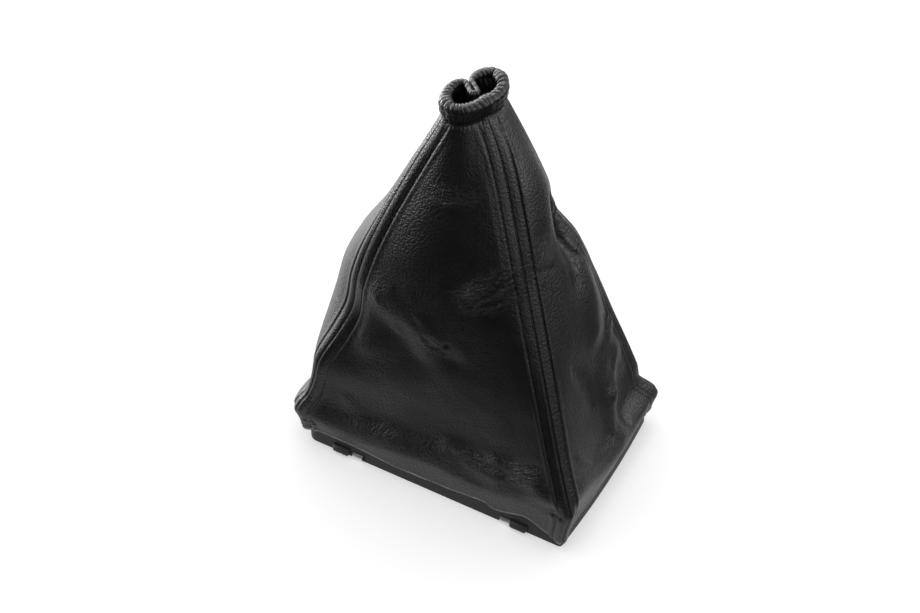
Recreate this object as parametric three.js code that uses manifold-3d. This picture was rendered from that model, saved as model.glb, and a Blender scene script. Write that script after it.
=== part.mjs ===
// Gear lever gaiter: four leather panels, sewn together at the corners, gathered round an elastic at the top
// and glued round a moulded frame at the foot. Millimetres, +Z up. The origin is on the floor under the
// middle of the frame, and the front panel faces -Y.
import * as THREE from 'three';
import { mergeVertices } from 'three/addons/utils/BufferGeometryUtils.js';
import Module from 'manifold-3d';

const wasm = await Module();
wasm.setup();

// Frame
const frameWidth = 150;
const frameDepth = 98;
const frameHeight = 14;
const frameWall = 2.4;
const frameCornerRadius = 1.2;
const sideBow = 2;
const footWidth = 8;
const footThickness = 2.2;

// Leather
const leather = 0.8;
const fitGap = 0.3;
const hemHeight = 10;
const allowanceWidth = 7;
const stitchOffset = 5.5;
const shoulderWidth = 6.5;
const shoulderFoot = 0.03;
const shoulderTop = 0.8;
const stitchDip = 0.25;
const seamDip = 0.5;
const seamSwell = 0.3;
const allowanceTop = 0.93;
const reliefTop = 0.9;
const overhangTop = 0.08;
const foldMargin = 10;
const swayDecay = 3;

// Collar
const gaiterHeight = 232;
const collarHeight = 10.5;
const collarX = -4;
const collarY = 2.5;
const elasticThickness = 0.5;
const elasticWidth = 2.5;
const elasticDrop = 1.3;
const elasticSteps = 96;
const rollHalfWidth = 3.1;
const pinchedHalfWidth = 1.35;
const gatherDepth = 0.7;
const stitchGather = 0.25;
const gatherFade = 0.06;
const gatherUneven = 0.25;
const collarLip = 1.2;

// Catches and clips
const catchWidth = 12.6;
const catchHeight = 6.5;
const catchReach = 3.4;
const catchInset = 15.7;
const catchFoot = 0.4;
const clipWidth = 5.8;
const clipHeight = 4.2;
const clipThickness = 0.5;
const clipBow = 1.2;
const clipGap = 0.2;
const clipFoot = 0.7;

// Corner seams, counter-clockwise from the front left. crease is the height at which the leather bends over
// the frame there. sway is how far the seam leaves the straight line up to the collar: [share of the height,
// outwards along the corner's diagonal, sideways].
const seams = [
  {
    side: [-1, -1],
    crease: 20,
    collarPoint: 0,
    sway: [[0, 1.8, 0], [0.025, 5, 0], [0.075, 1.8, 0], [0.13, 2.3, 0], [0.21, 4.7, 0], [0.31, 1.2, 0],
      [0.39, 0, 0], [0.5, 5, 0], [0.6, 7, 0], [0.7, 6.6, 0], [0.8, 4.8, 0], [0.9, 2.4, 0], [1, 0, 0]],
  },
  {
    side: [1, -1],
    crease: 25.6,
    collarPoint: 4,
    sway: [[0, 1, 3.3], [0.04, 1, 3.1], [0.15, 0, 2.7], [0.3, 0, 2.9], [0.5, 0.4, 2.9], [0.7, 1, 3],
      [0.9, 0.6, 2.6], [1, 0, 0]],
  },
  {
    side: [1, 1],
    crease: 19,
    collarPoint: 8,
    sway: [[0, 2.5, 0], [0.018, 4.4, 0], [0.045, 0.5, 0], [0.07, -2, 0], [0.12, 0, 0], [0.3, 1, 0],
      [0.45, 2, 0], [0.56, 2, 0], [0.66, -3, 0], [0.75, 0, 0], [1, 0, 0]],
  },
  {
    side: [-1, 1],
    crease: 20,
    collarPoint: 16,
    sway: [[0, 0, 0], [0.03, 4, 0], [0.1, 1, 0], [0.35, 3, 0], [0.6, 2, 0], [1, 0, 0]],
  },
];

// Middle of the collar's roll, seen from above and measured from the collar's centre: [x, y, how full it is].
// It runs from the front left seam round by the front. The back left seam is at the tip of the pinch.
const collarPath = [
  [-8.3, -12.5, 0.94], [-3.5, -14.8, 0.94], [1.2, -13.2, 0.94], [4.6, -9.2, 1],
  [7.4, -3.6, 1.05], [9.3, 1.6, 1.05], [9.9, 6.6, 1.05], [8.6, 11, 1],
  [5.4, 14.4, 0.94], [1, 15.9, 0.94], [-2.6, 13.4, 0.83], [-4.6, 9.4, 0.49], [-4.4, 5.2, 0.09],
  [-1.6, 2.5, 0], [1.3, -0.1, 0], [1.8, -1.3, 0],
  [1.35, -2.4, 0], [0.2, -2.9, 0], [-0.9, -2.4, 0], [-3.7, 0.1, 0.03], [-6.6, 2.4, 0.2],
  [-10.4, 1.2, 0.54], [-12.2, -3.2, 0.83], [-11.2, -8.4, 0.94],
];

// The four panels, each from one corner seam to the next. dip is how far the bend over the frame lies above
// the straight line between its corners, overhang how far the leather stands out there, and bulge how far the
// middle stands out of the flat on the way up. shoulders say how far it stands out just past its two seams,
// where it is double and stiff. A fold is a soft ridge, or a hollow where its height is negative, between two
// places, each [share across, share up].
const panels = [
  {
    name: 'front_panel',
    columns: 28,
    gathers: 6,
    roundness: 0.8,
    shoulders: [0.5, 3.6],
    dip: [[0, 0], [0.07, -3.8], [0.14, -5], [0.24, -4.2], [0.36, -1.5], [0.5, -0.3], [0.7, -1.9], [0.8, 0],
      [0.9, 3.1], [1, 0]],
    overhang: [[0, 0], [0.3, 0.6], [0.6, 0.4], [0.85, 2], [1, 0]],
    bulge: [[0, 0], [0.03, -3], [0.09, -5], [0.2, -3], [0.35, 2], [0.55, 7], [0.75, 6], [1, 0]],
    folds: [
      { from: [0.1, 0.5], to: [0.14, 0.32], width: 7, height: 1.5 },
      { from: [0.24, 0.5], to: [0.44, 0.38], width: 9, height: 2.2 },
      { from: [0.27, 0.41], to: [0.38, 0.33], width: 8, height: -2 },
      { from: [0.48, 0.375], to: [0.57, 0.36], width: 6, height: -1.8 },
      { from: [0.72, 0.59], to: [0.9, 0.585], width: 4, height: 0.9 },
      { from: [0.72, 0.56], to: [0.9, 0.55], width: 4, height: -0.6 },
      { from: [0.28, 0.825], to: [0.72, 0.84], width: 3.5, height: -0.5 },
      { from: [0.56, 0.07], to: [0.74, 0.05], width: 5, height: 1.3 },
      { from: [0.74, 0.09], to: [0.9, 0.06], width: 5, height: 1.2 },
      { from: [0.62, 0.02], to: [0.85, 0.03], width: 5, height: -0.8 },
    ],
  },
  {
    name: 'right_panel',
    columns: 20,
    gathers: 5,
    roundness: 0.8,
    shoulders: [3.6, 1.5],
    dip: [[0, 0], [0.15, -0.8], [0.4, -5], [0.7, -4], [0.9, -1.7], [1, 0]],
    overhang: [[0, 0], [0.3, 0.5], [0.6, 2], [0.85, 1.5], [1, 0]],
    bulge: [[0, 0], [0.03, -1], [0.1, -2], [0.25, 0], [0.45, 4], [0.62, 3], [0.75, 5], [0.85, 4], [1, 0]],
    folds: [
      { from: [0.8, 0.72], to: [0.74, 0.6], width: 6, height: -3 },
      { from: [0.74, 0.6], to: [0.62, 0.52], width: 6, height: -1.5 },
      { from: [0.85, 0.5], to: [0.7, 0.36], width: 9, height: 2 },
      { from: [0.84, 0.24], to: [0.68, 0.16], width: 6, height: 2 },
      { from: [0.68, 0.16], to: [0.63, 0.06], width: 6, height: 2 },
      { from: [0.84, 0.12], to: [0.8, 0.05], width: 8, height: -1.8 },
    ],
  },
  {
    name: 'back_panel',
    columns: 26,
    gathers: 7,
    roundness: 0.8,
    shoulders: [1.5, 1.2],
    dip: [[0, 0], [0.5, -2], [1, 0]],
    overhang: [[0, 0], [0.3, 2], [0.7, 2], [1, 0]],
    bulge: [[0, 0], [0.05, -2], [0.12, -3], [0.3, 3], [0.6, 8], [0.85, 5], [1, 0]],
    folds: [
      { from: [0.3, 0.45], to: [0.45, 0.33], width: 9, height: 2 },
      { from: [0.62, 0.4], to: [0.7, 0.28], width: 8, height: -1.8 },
      { from: [0.35, 0.08], to: [0.6, 0.06], width: 6, height: 1.3 },
    ],
  },
  {
    name: 'left_panel',
    columns: 26,
    gathers: 7,
    roundness: 0.6,
    shoulders: [1.2, 1],
    dip: [[0, 0], [0.5, -2], [1, 0]],
    overhang: [[0, 0], [0.3, 3], [0.75, 6], [0.93, 6], [1, 0]],
    bulge: [[0, 0], [0.03, 1], [0.1, 5], [0.2, 12], [0.3, 17], [0.42, 20], [0.55, 16], [0.7, 7.5],
      [0.85, 3], [1, 0]],
    folds: [
      { from: [0.35, 0.3], to: [0.6, 0.2], width: 9, height: -1.5 },
      { from: [0.3, 0.14], to: [0.55, 0.1], width: 7, height: 1.5 },
    ],
  },
];

// Rows of points up the leather: shares of the hem, shares of the wall, and degrees round the roll.
const hemRows = [0, 0.35, 0.75];
const wallRows = [0, 0.018, 0.04, 0.068, 0.1, 0.135, 0.175, 0.215, 0.26, 0.305, 0.35, 0.395, 0.44, 0.485,
  0.53, 0.58, 0.63, 0.68, 0.73, 0.775, 0.82, 0.86, 0.895, 0.925, 0.95, 0.972, 0.988, 1];
const rollRows = [-24, 4, 30, 56, 78, 102, 124, 150, 176, 204];
const evenColumns = [0.78, 0.96];
const mitreLimit = 0.5;

// Columns of points beside a seam: how far each lies from it, and how far the leather rises or sinks there.
const seamEdge = [0, stitchOffset / 2, stitchOffset, allowanceWidth, allowanceWidth + leather / 2];
const seamRelief = [-seamDip, seamSwell, -stitchDip];

const { lerp, smoothstep, degToRad } = THREE.MathUtils;
const stitchHeight = gaiterHeight - collarHeight;

// A smooth line through points [place, value, value ...], level beyond its ends.
function smoothLine(points, place, column = 1) {
  const slope = (i) => {
    const before = points[Math.max(i - 1, 0)];
    const after = points[Math.min(i + 1, points.length - 1)];
    return (after[column] - before[column]) / (after[0] - before[0]);
  };
  if (place <= points[0][0]) return points[0][column];
  const next = points.findIndex((point) => point[0] > place);
  if (next < 0) return points.at(-1)[column];
  const from = points[next - 1];
  const to = points[next];
  const span = to[0] - from[0];
  const t = (place - from[0]) / span;
  const level = lerp(from[column], to[column], smoothstep(t, 0, 1));
  return level + span * t * (1 - t) * (slope(next - 1) * (1 - t) - slope(next) * t);
}

// The collar's centre line at one place on a panel: its point, outward normal and half width.
const collarCurve = new THREE.CatmullRomCurve3(collarPath.map(([x, y, fullness]) => (
  new THREE.Vector3(collarX + x, collarY + y, lerp(pinchedHalfWidth, rollHalfWidth, fullness)))), true);

function collarAt(panelIndex, share) {
  const from = seams[panelIndex].collarPoint;
  const to = seams[(panelIndex + 1) % seams.length].collarPoint || collarPath.length;
  const place = lerp(from, to, share) / collarPath.length % 1;
  const point = collarCurve.getPoint(place);
  const tangent = collarCurve.getTangent(place).setZ(0).normalize();
  return {
    point: new THREE.Vector2(point.x, point.y),
    normal: new THREE.Vector2(tangent.y, -tangent.x),
    half: point.z,
  };
}

// Gathers drawn up by the elastic: a wave round the collar, uneven from one to the next and flat in the
// pinch.
function gatherAt(panel, share, half) {
  const uneven = share + gatherUneven / panel.gathers * Math.sin(3 * Math.PI * share);
  const room = smoothstep(half, pinchedHalfWidth, rollHalfWidth);
  return -gatherDepth * room * Math.cos(2 * Math.PI * panel.gathers * uneven);
}

// A corner seam on its way up, as it lies on the outside of the leather.
function seamAt(seam, up) {
  const [sideX, sideY] = seam.side;
  const outside = fitGap + leather;
  const base = new THREE.Vector2(frameWidth / 2 + outside, frameDepth / 2 + outside);
  base.multiply(new THREE.Vector2(sideX, sideY));
  const collar = collarAt(seams.indexOf(seam), 0);
  const top = collar.point.addScaledVector(collar.normal, fitGap / 2 + leather);
  const out = smoothLine(seam.sway, up, 1) * Math.SQRT1_2;
  const along = smoothLine(seam.sway, up, 2) * Math.SQRT1_2;
  const sway = new THREE.Vector2(sideX * out - sideY * along, sideY * out + sideX * along);
  return { line: base.lerp(top, up), sway };
}

// The line of the leather's foot, straight along the front and back, and bowed out along the sides.
function footAt(panelIndex, across) {
  const from = seamAt(seams[panelIndex], 0).line;
  const to = seamAt(seams[(panelIndex + 1) % seams.length], 0).line;
  const bow = panelIndex % 2 ? sideBow * 4 * across * (1 - across) : 0;
  const side = Math.sign(Math.round(from.x + to.x));
  return from.lerp(to, across).add(new THREE.Vector2(side * bow, 0));
}

// How far the folds lift the leather at one place. They run out before the seams.
function foldHeight(panel, across, up, width) {
  const height = stitchHeight - frameHeight;
  const room = smoothstep(across * (1 - across) * width, 0, foldMargin);
  return room * panel.folds.reduce((sum, fold) => {
    const from = new THREE.Vector2((fold.from[0] - across) * width, (fold.from[1] - up) * height);
    const to = new THREE.Vector2((fold.to[0] - across) * width, (fold.to[1] - up) * height);
    const run = to.clone().sub(from);
    const share = THREE.MathUtils.clamp(-from.dot(run) / run.lengthSq(), 0, 1);
    const away = from.addScaledVector(run, share).length() / fold.width;
    return sum + fold.height * Math.exp(-away * away);
  }, 0);
}

// A point on the outside of a panel's wall, from the bend over the frame, up = 0, to the collar's stitching,
// up = 1.
function wallPoint(panelIndex, across, up) {
  const panel = panels[panelIndex];
  const start = seams[panelIndex];
  const end = seams[(panelIndex + 1) % seams.length];
  const from = seamAt(start, up);
  const to = seamAt(end, up);
  const collar = collarAt(panelIndex, across);
  const top = collar.point.clone().addScaledVector(collar.normal, fitGap / 2 + leather);
  const chord = to.line.clone().sub(from.line);
  const width = chord.length();
  const out = new THREE.Vector2(chord.y, -chord.x).normalize();
  const round = Math.pow(4 * across * (1 - across), panel.roundness);
  const overhang = smoothLine(panel.overhang, across) * (1 - smoothstep(up, 0, overhangTop));
  const gather = stitchGather * gatherAt(panel, across, collar.half) * smoothstep(up, 1 - gatherFade, 1);
  const shoulder = lerp(...panel.shoulders, across)
    * smoothstep(Math.min(across, 1 - across) * width, 0, shoulderWidth)
    * smoothstep(up, 0, shoulderFoot) * (1 - smoothstep(up, shoulderTop, 1));
  const folds = foldHeight(panel, across, up, width);
  const bulge = smoothLine(panel.bulge, up) * round + overhang + shoulder + folds;
  const point = footAt(panelIndex, across).lerp(top, up);
  point.addScaledVector(from.sway, (1 - across) ** swayDecay).addScaledVector(to.sway, across ** swayDecay);
  point.addScaledVector(out, bulge).addScaledVector(collar.normal, gather);
  const crease = lerp(start.crease, end.crease, across) + smoothLine(panel.dip, across);
  return new THREE.Vector3(point.x, point.y, lerp(crease, stitchHeight, up));
}

// The same below the bend, where the leather hangs down outside the frame to its cut edge.
function hemPoint(panelIndex, across, share) {
  const crease = wallPoint(panelIndex, across, 0);
  const foot = footAt(panelIndex, across);
  return new THREE.Vector3(
    lerp(foot.x, crease.x, share ** 2),
    lerp(foot.y, crease.y, share ** 2),
    lerp(hemHeight, crease.z, share),
  );
}

// The same round the collar's roll, up the outside and down the inside, to the edge held by the stitching.
function rollPoint(panelIndex, across, degrees) {
  const panel = panels[panelIndex];
  const collar = collarAt(panelIndex, across);
  const angle = degToRad(degrees);
  const half = collar.half + gatherAt(panel, across, collar.half);
  const point = collar.point.addScaledVector(collar.normal, half * Math.cos(angle));
  return new THREE.Vector3(point.x, point.y, gaiterHeight - collar.half * (1 - Math.sin(angle)));
}

function lipPoint(panelIndex, across) {
  const collar = collarAt(panelIndex, across);
  const gather = stitchGather * gatherAt(panels[panelIndex], across, collar.half);
  const point = collar.point.addScaledVector(collar.normal, gather - fitGap / 2 - leather);
  return new THREE.Vector3(point.x, point.y, stitchHeight - collarLip);
}

// Where the columns of points stand on a row: at set distances from the seams low down, evenly at the top.
function columnShares(panel, width, up) {
  const fade = smoothstep(up, evenColumns[0], evenColumns[1]);
  const near = seamEdge.length - 1;
  const last = panel.columns;
  return Array.from({ length: last + 1 }, (_, column) => {
    const margin = seamEdge[near] / width;
    const inner = lerp(margin, 1 - margin, (column - near) / (last - 2 * near));
    const left = column < near ? seamEdge[column] / width : inner;
    const place = column > last - near ? 1 - seamEdge[last - column] / width : left;
    return lerp(place, column / last, fade);
  });
}

// The smooth outside of a panel as rows of points, each row with what it takes to give it a thickness.
function panelRows(panelIndex) {
  const panel = panels[panelIndex];
  const row = (up, pointAt, doubled) => {
    const width = wallPoint(panelIndex, 0, up).distanceTo(wallPoint(panelIndex, 1, up));
    return { up, doubled, points: columnShares(panel, width, up).map((across) => pointAt(across)) };
  };
  const hem = hemRows.map((share) => row(0, (across) => hemPoint(panelIndex, across, share), false));
  const wall = wallRows.map((up) => (
    row(up, (across) => wallPoint(panelIndex, across, up), up > 0 && up < allowanceTop)));
  const roll = rollRows.map((degrees) => row(1, (across) => rollPoint(panelIndex, across, degrees), false));
  const lip = row(1, (across) => lipPoint(panelIndex, across), false);
  return [...hem, ...wall, ...roll, lip];
}

const allRows = panels.map((_, index) => panelRows(index));

function gridNormal(rows, r, c) {
  const points = rows[r].points;
  const across = points[Math.min(c + 1, points.length - 1)].clone().sub(points[Math.max(c - 1, 0)]);
  const above = rows[Math.min(r + 1, rows.length - 1)].points[c];
  const below = rows[Math.max(r - 1, 0)].points[c];
  return across.cross(above.clone().sub(below)).normalize();
}

// Normals of a panel. Along a seam both panels use the mean of their own, so that their edges meet in a
// mitre.
function panelNormals(panelIndex) {
  const rows = allRows[panelIndex];
  const before = allRows[(panelIndex + panels.length - 1) % panels.length];
  const after = allRows[(panelIndex + 1) % panels.length];
  return rows.map((row, r) => row.points.map((_, c) => {
    const own = gridNormal(rows, r, c);
    const last = row.points.length - 1;
    if (c > 0 && c < last) return own;
    const other = c === 0 ? gridNormal(before, r, before[r].points.length - 1) : gridNormal(after, r, 0);
    const shared = own.clone().add(other).normalize();
    return shared.divideScalar(Math.max(shared.dot(own), mitreLimit));
  }));
}

function addQuad(triangles, a, b, c, d) {
  triangles.push(a, b, c, a, c, d);
}

// Triangles between two rows of vertices that run side by side, each vertex at its own share of the way.
function stitchRows(low, lowPlaces, high, highPlaces) {
  const triangles = [];
  let i = 0;
  let j = 0;
  while (i < low.length - 1 || j < high.length - 1) {
    const lowNext = i < low.length - 1 ? lowPlaces[i + 1] : Infinity;
    const highNext = j < high.length - 1 ? highPlaces[j + 1] : Infinity;
    if (lowNext <= highNext) {
      triangles.push(low[i], low[i + 1], high[j]);
      i += 1;
    } else {
      triangles.push(low[i], high[j + 1], high[j]);
      j += 1;
    }
  }
  return triangles;
}

// One panel as a closed sheet. It is double along the seams, where the allowance is folded back and held by
// the topstitching.
function panelGeometry(panelIndex) {
  const rows = allRows[panelIndex];
  const normals = panelNormals(panelIndex);
  const last = panels[panelIndex].columns;
  const near = seamEdge.length - 1;
  const vertices = [];
  const add = (point) => {
    vertices.push(point.x, point.y, point.z);
    return vertices.length / 3 - 1;
  };
  const shiftAlong = (points, c) => {
    const step = c === 0 ? points[1].clone().sub(points[0]) : points[c - 1].clone().sub(points[c]);
    return step.normalize().multiplyScalar(c === 0 || c === last ? fitGap / 2 : 0);
  };
  const outer = rows.map(({ points, up }, r) => points.map((point, c) => {
    const fade = (1 - smoothstep(up, reliefTop, 1)) * smoothstep(up, 0, wallRows[1]);
    const relief = (seamRelief[Math.min(c, last - c)] || 0) * fade;
    return add(point.clone().addScaledVector(normals[r][c], relief).add(shiftAlong(points, c)));
  }));
  const outerColumns = rows[0].points.map((_, c) => c);
  const innerColumns = outerColumns.filter((c) => c % last === 0 || Math.min(c, last - c) >= near - 1);
  const inner = rows.map(({ points, doubled }, r) => innerColumns.map((c) => {
    const thickness = doubled && Math.min(c, last - c) < near ? 2 * leather : leather;
    return add(points[c].clone().addScaledVector(normals[r][c], -thickness).add(shiftAlong(points, c)));
  }));
  const triangles = [];
  for (let r = 0; r < rows.length - 1; r += 1) {
    triangles.push(...stitchRows(outer[r], outerColumns, outer[r + 1], outerColumns));
    triangles.push(...stitchRows(inner[r], innerColumns, inner[r + 1], innerColumns).reverse());
  }
  triangles.push(...stitchRows(inner[0], innerColumns, outer[0], outerColumns));
  triangles.push(...stitchRows(outer.at(-1), outerColumns, inner.at(-1), innerColumns));
  for (let r = 0; r < rows.length - 1; r += 1) {
    addQuad(triangles, inner[r][0], outer[r][0], outer[r + 1][0], inner[r + 1][0]);
    addQuad(triangles, outer[r].at(-1), inner[r].at(-1), inner[r + 1].at(-1), outer[r + 1].at(-1));
  }
  const geometry = new THREE.BufferGeometry();
  geometry.setAttribute('position', new THREE.Float32BufferAttribute(vertices, 3));
  geometry.setIndex(triangles);
  return geometry;
}

// Booleans between closed geometries.
function toSolid(geometry) {
  const plain = new THREE.BufferGeometry();
  plain.setAttribute('position', geometry.getAttribute('position'));
  plain.setIndex(geometry.getIndex());
  const merged = mergeVertices(plain, 1e-4);
  return new wasm.Manifold(new wasm.Mesh({
    numProp: 3,
    vertProperties: new Float32Array(merged.getAttribute('position').array),
    triVerts: new Uint32Array(merged.getIndex().array),
  }));
}

function toGeometry(solid) {
  const mesh = solid.getMesh();
  const geometry = new THREE.BufferGeometry();
  geometry.setAttribute('position', new THREE.BufferAttribute(mesh.vertProperties, 3));
  geometry.setIndex(new THREE.BufferAttribute(mesh.triVerts, 1));
  return geometry;
}

const box = (width, depth, height, x, y, z) => (
  new THREE.BoxGeometry(width, depth, height).translate(x, y, z + height / 2));

// Frame: an upright wall with an inward foot, and two catches on the front and two on the back. Its ends are
// bowed out a little.
function frameOutline(inset, target) {
  const x = frameWidth / 2 - inset;
  const y = frameDepth / 2 - inset;
  const radius = frameCornerRadius;
  target.moveTo(-x + radius, -y);
  target.lineTo(x - radius, -y);
  target.absarc(x - radius, -y + radius, radius, -Math.PI / 2, 0);
  target.quadraticCurveTo(x + 2 * sideBow, 0, x, y - radius);
  target.absarc(x - radius, y - radius, radius, 0, Math.PI / 2);
  target.lineTo(-x + radius, y);
  target.absarc(-x + radius, y - radius, radius, Math.PI / 2, Math.PI);
  target.quadraticCurveTo(-x - 2 * sideBow, 0, -x, -y + radius);
  target.absarc(-x + radius, -y + radius, radius, Math.PI, Math.PI * 3 / 2);
  return target;
}

function ring(wall, height) {
  const outline = frameOutline(0, new THREE.Shape());
  outline.holes.push(frameOutline(wall, new THREE.Path()));
  return new THREE.ExtrudeGeometry(outline, { depth: height, bevelEnabled: false, curveSegments: 5 });
}

// Pieces on the frame's long sides are drawn in section, outwards and up, and run along the side. They are
// then turned to stand on the front.
const sectionToFront = new THREE.Matrix4().makeBasis(
  new THREE.Vector3(0, -1, 0), new THREE.Vector3(0, 0, 1), new THREE.Vector3(-1, 0, 0));

const catchPlaces = [
  { name: 'front_left', turn: 0, side: -1 },
  { name: 'front_right', turn: 0, side: 1 },
  { name: 'back_left', turn: 180, side: 1 },
  { name: 'back_right', turn: 180, side: -1 },
];
const catchLevels = [[0, 0.8], [0.15, 0.95], [0.35, 1], [0.55, 0.9], [0.78, 0.6], [1, 0.15]];
const catchPlan = [[-1, 0.5], [-0.9, 0.78], [-0.65, 0.96], [-0.3, 1], [0.3, 1], [0.65, 0.96], [0.9, 0.78],
  [1, 0.5]];
const catchCentre = frameWidth / 2 - catchInset - catchWidth / 2;
const clipCentre = catchCentre - catchWidth / 2 - fitGap - clipWidth / 2;
const slotLow = clipFoot + clipHeight - clipThickness;

// A catch is a rounded tongue, drawn as level outlines: how far it reaches out at each height, and how far
// across its width.
function catchSolid({ turn, side }) {
  const root = frameDepth / 2 - frameWall / 2;
  const points = catchLevels.flatMap(([up, reach]) => catchPlan.map(([across, out]) => [
    side * catchCentre + across * catchWidth / 2,
    -frameDepth / 2 - out * reach * catchReach,
    catchFoot + up * catchHeight,
  ]));
  const roots = [-1, 1].flatMap((end) => [catchFoot, catchFoot + catchHeight].map((z) => (
    [side * catchCentre + end * catchWidth / 2, -root, z])));
  return wasm.Manifold.hull([...points, ...roots]).rotate([0, 0, turn]);
}

// The slot in the wall that a clip hooks through.
function slotSolid({ turn, side }) {
  const width = clipWidth + 2 * clipGap;
  const height = clipThickness + 2 * clipGap;
  const slot = box(width, 3 * frameWall, height, side * clipCentre, -frameDepth / 2, slotLow - clipGap);
  return toSolid(slot).rotate([0, 0, turn]);
}

function frameGeometry() {
  const foot = toSolid(ring(footWidth, footThickness));
  const wall = toSolid(ring(frameWall, frameHeight));
  const frame = catchPlaces.reduce((sum, place) => sum.add(catchSolid(place)), wall.add(foot));
  return toGeometry(catchPlaces.reduce((rest, place) => rest.subtract(slotSolid(place)), frame));
}

// A clip: a strip of spring steel bent over the lower edge of its slot, with a bowed leaf outside.
function clipGeometry({ turn, side }) {
  const face = frameDepth / 2;
  const back = face - frameWall - clipGap;
  const front = face + clipGap;
  const middle = clipFoot + clipHeight / 2;
  const clipTop = clipFoot + clipHeight;
  const section = new THREE.Shape();
  section.moveTo(back - clipThickness, footThickness + clipGap);
  section.lineTo(back, footThickness + clipGap);
  section.lineTo(back, slotLow);
  section.lineTo(front, slotLow);
  section.quadraticCurveTo(front + 2 * clipBow, middle, front, clipFoot);
  section.lineTo(front + clipThickness, clipFoot);
  section.quadraticCurveTo(front + clipThickness + 2 * clipBow, middle, front + clipThickness, clipTop);
  section.lineTo(back - clipThickness, clipTop);
  const shape = { depth: clipWidth, bevelEnabled: false, curveSegments: 6 };
  const strip = new THREE.ExtrudeGeometry(section, shape).applyMatrix4(sectionToFront);
  return strip.translate(side * clipCentre + clipWidth / 2, 0, 0).rotateZ(degToRad(turn));
}

// The elastic: a flat band on edge in the collar's tunnel.
function elasticGeometry() {
  const around = Array.from({ length: elasticSteps }, (_, i) => i / elasticSteps);
  const outline = (offset) => around.map((place) => {
    const point = collarCurve.getPoint(place);
    const tangent = collarCurve.getTangent(place).setZ(0).normalize();
    return new THREE.Vector2(point.x + tangent.y * offset, point.y - tangent.x * offset);
  });
  const shape = new THREE.Shape(outline(elasticThickness / 2));
  shape.holes.push(new THREE.Path(outline(-elasticThickness / 2)));
  const band = new THREE.ExtrudeGeometry(shape, { depth: elasticWidth, bevelEnabled: false });
  return band.translate(0, 0, gaiterHeight - elasticDrop - elasticWidth);
}

const leatherMaterial = new THREE.MeshStandardMaterial({ name: 'leather', color: '#1c1b1e', roughness: 0.5 });
const plasticMaterial = new THREE.MeshStandardMaterial({ name: 'plastic', color: '#202022', roughness: 0.6 });
const steelMaterial = new THREE.MeshStandardMaterial({
  name: 'steel', color: '#c9cbce', roughness: 0.3, metalness: 1,
});
const elasticMaterial = new THREE.MeshStandardMaterial({ name: 'elastic', color: '#2a2a2c', roughness: 0.9 });

const gaiter = new THREE.Group();

function addMesh(name, geometry, material) {
  geometry.computeVertexNormals();
  const mesh = new THREE.Mesh(geometry, material);
  mesh.name = name;
  gaiter.add(mesh);
}

addMesh('base_frame', frameGeometry(), plasticMaterial);
catchPlaces.forEach((place) => addMesh(`${place.name}_clip`, clipGeometry(place), steelMaterial));
panels.forEach((panel, index) => addMesh(panel.name, panelGeometry(index), leatherMaterial));
addMesh('collar_elastic', elasticGeometry(), elasticMaterial);

export default gaiter;
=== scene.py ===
"""Gear lever gaiter: four leather panels sewn together at the corners, gathered round an elastic at the top and
glued round a moulded frame at the foot. Metres, +Z up, and the front panel faces -Y. The part's own measures are
written in millimetres and turned to metres as each mesh is made."""
import math

import bpy
import numpy as np
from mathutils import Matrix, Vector, noise


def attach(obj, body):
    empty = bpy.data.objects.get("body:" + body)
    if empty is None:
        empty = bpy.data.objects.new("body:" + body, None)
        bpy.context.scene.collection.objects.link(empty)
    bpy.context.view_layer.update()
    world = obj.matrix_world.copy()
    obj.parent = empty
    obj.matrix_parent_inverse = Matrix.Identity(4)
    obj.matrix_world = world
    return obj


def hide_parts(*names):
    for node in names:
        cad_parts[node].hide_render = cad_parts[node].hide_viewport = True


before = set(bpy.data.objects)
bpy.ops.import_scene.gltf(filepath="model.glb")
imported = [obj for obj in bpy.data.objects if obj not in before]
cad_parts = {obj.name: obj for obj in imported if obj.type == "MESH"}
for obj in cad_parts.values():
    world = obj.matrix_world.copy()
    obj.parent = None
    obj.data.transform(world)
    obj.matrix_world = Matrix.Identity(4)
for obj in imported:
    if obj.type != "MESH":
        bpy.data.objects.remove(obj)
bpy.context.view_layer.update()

# ---------------------------------------------------------------------------------------------------------------
# Camera: a portrait lens on a tripod, to the right of the front and well above the gaiter.
# ---------------------------------------------------------------------------------------------------------------
CAMERA_AIM = Vector((0.003, -0.024, 0.116))
CAMERA_DISTANCE = 1.065
CAMERA_TURN = math.radians(29.1)
CAMERA_RISE = math.radians(46.1)
LENS = 86.09

towards_camera = Vector((
    math.sin(CAMERA_TURN) * math.cos(CAMERA_RISE),
    -math.cos(CAMERA_TURN) * math.cos(CAMERA_RISE),
    math.sin(CAMERA_RISE),
))
bpy.ops.object.select_all(action="DESELECT")
bpy.ops.object.camera_add(
    location=CAMERA_AIM + towards_camera * CAMERA_DISTANCE,
    rotation=towards_camera.to_track_quat("Z", "Y").to_euler(),
)
camera = bpy.context.object
camera.name = "Camera"
camera.data.lens = LENS
camera.data.sensor_width = 36
bpy.context.scene.camera = camera
bpy.context.scene.view_settings.view_transform = "Standard"


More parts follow.
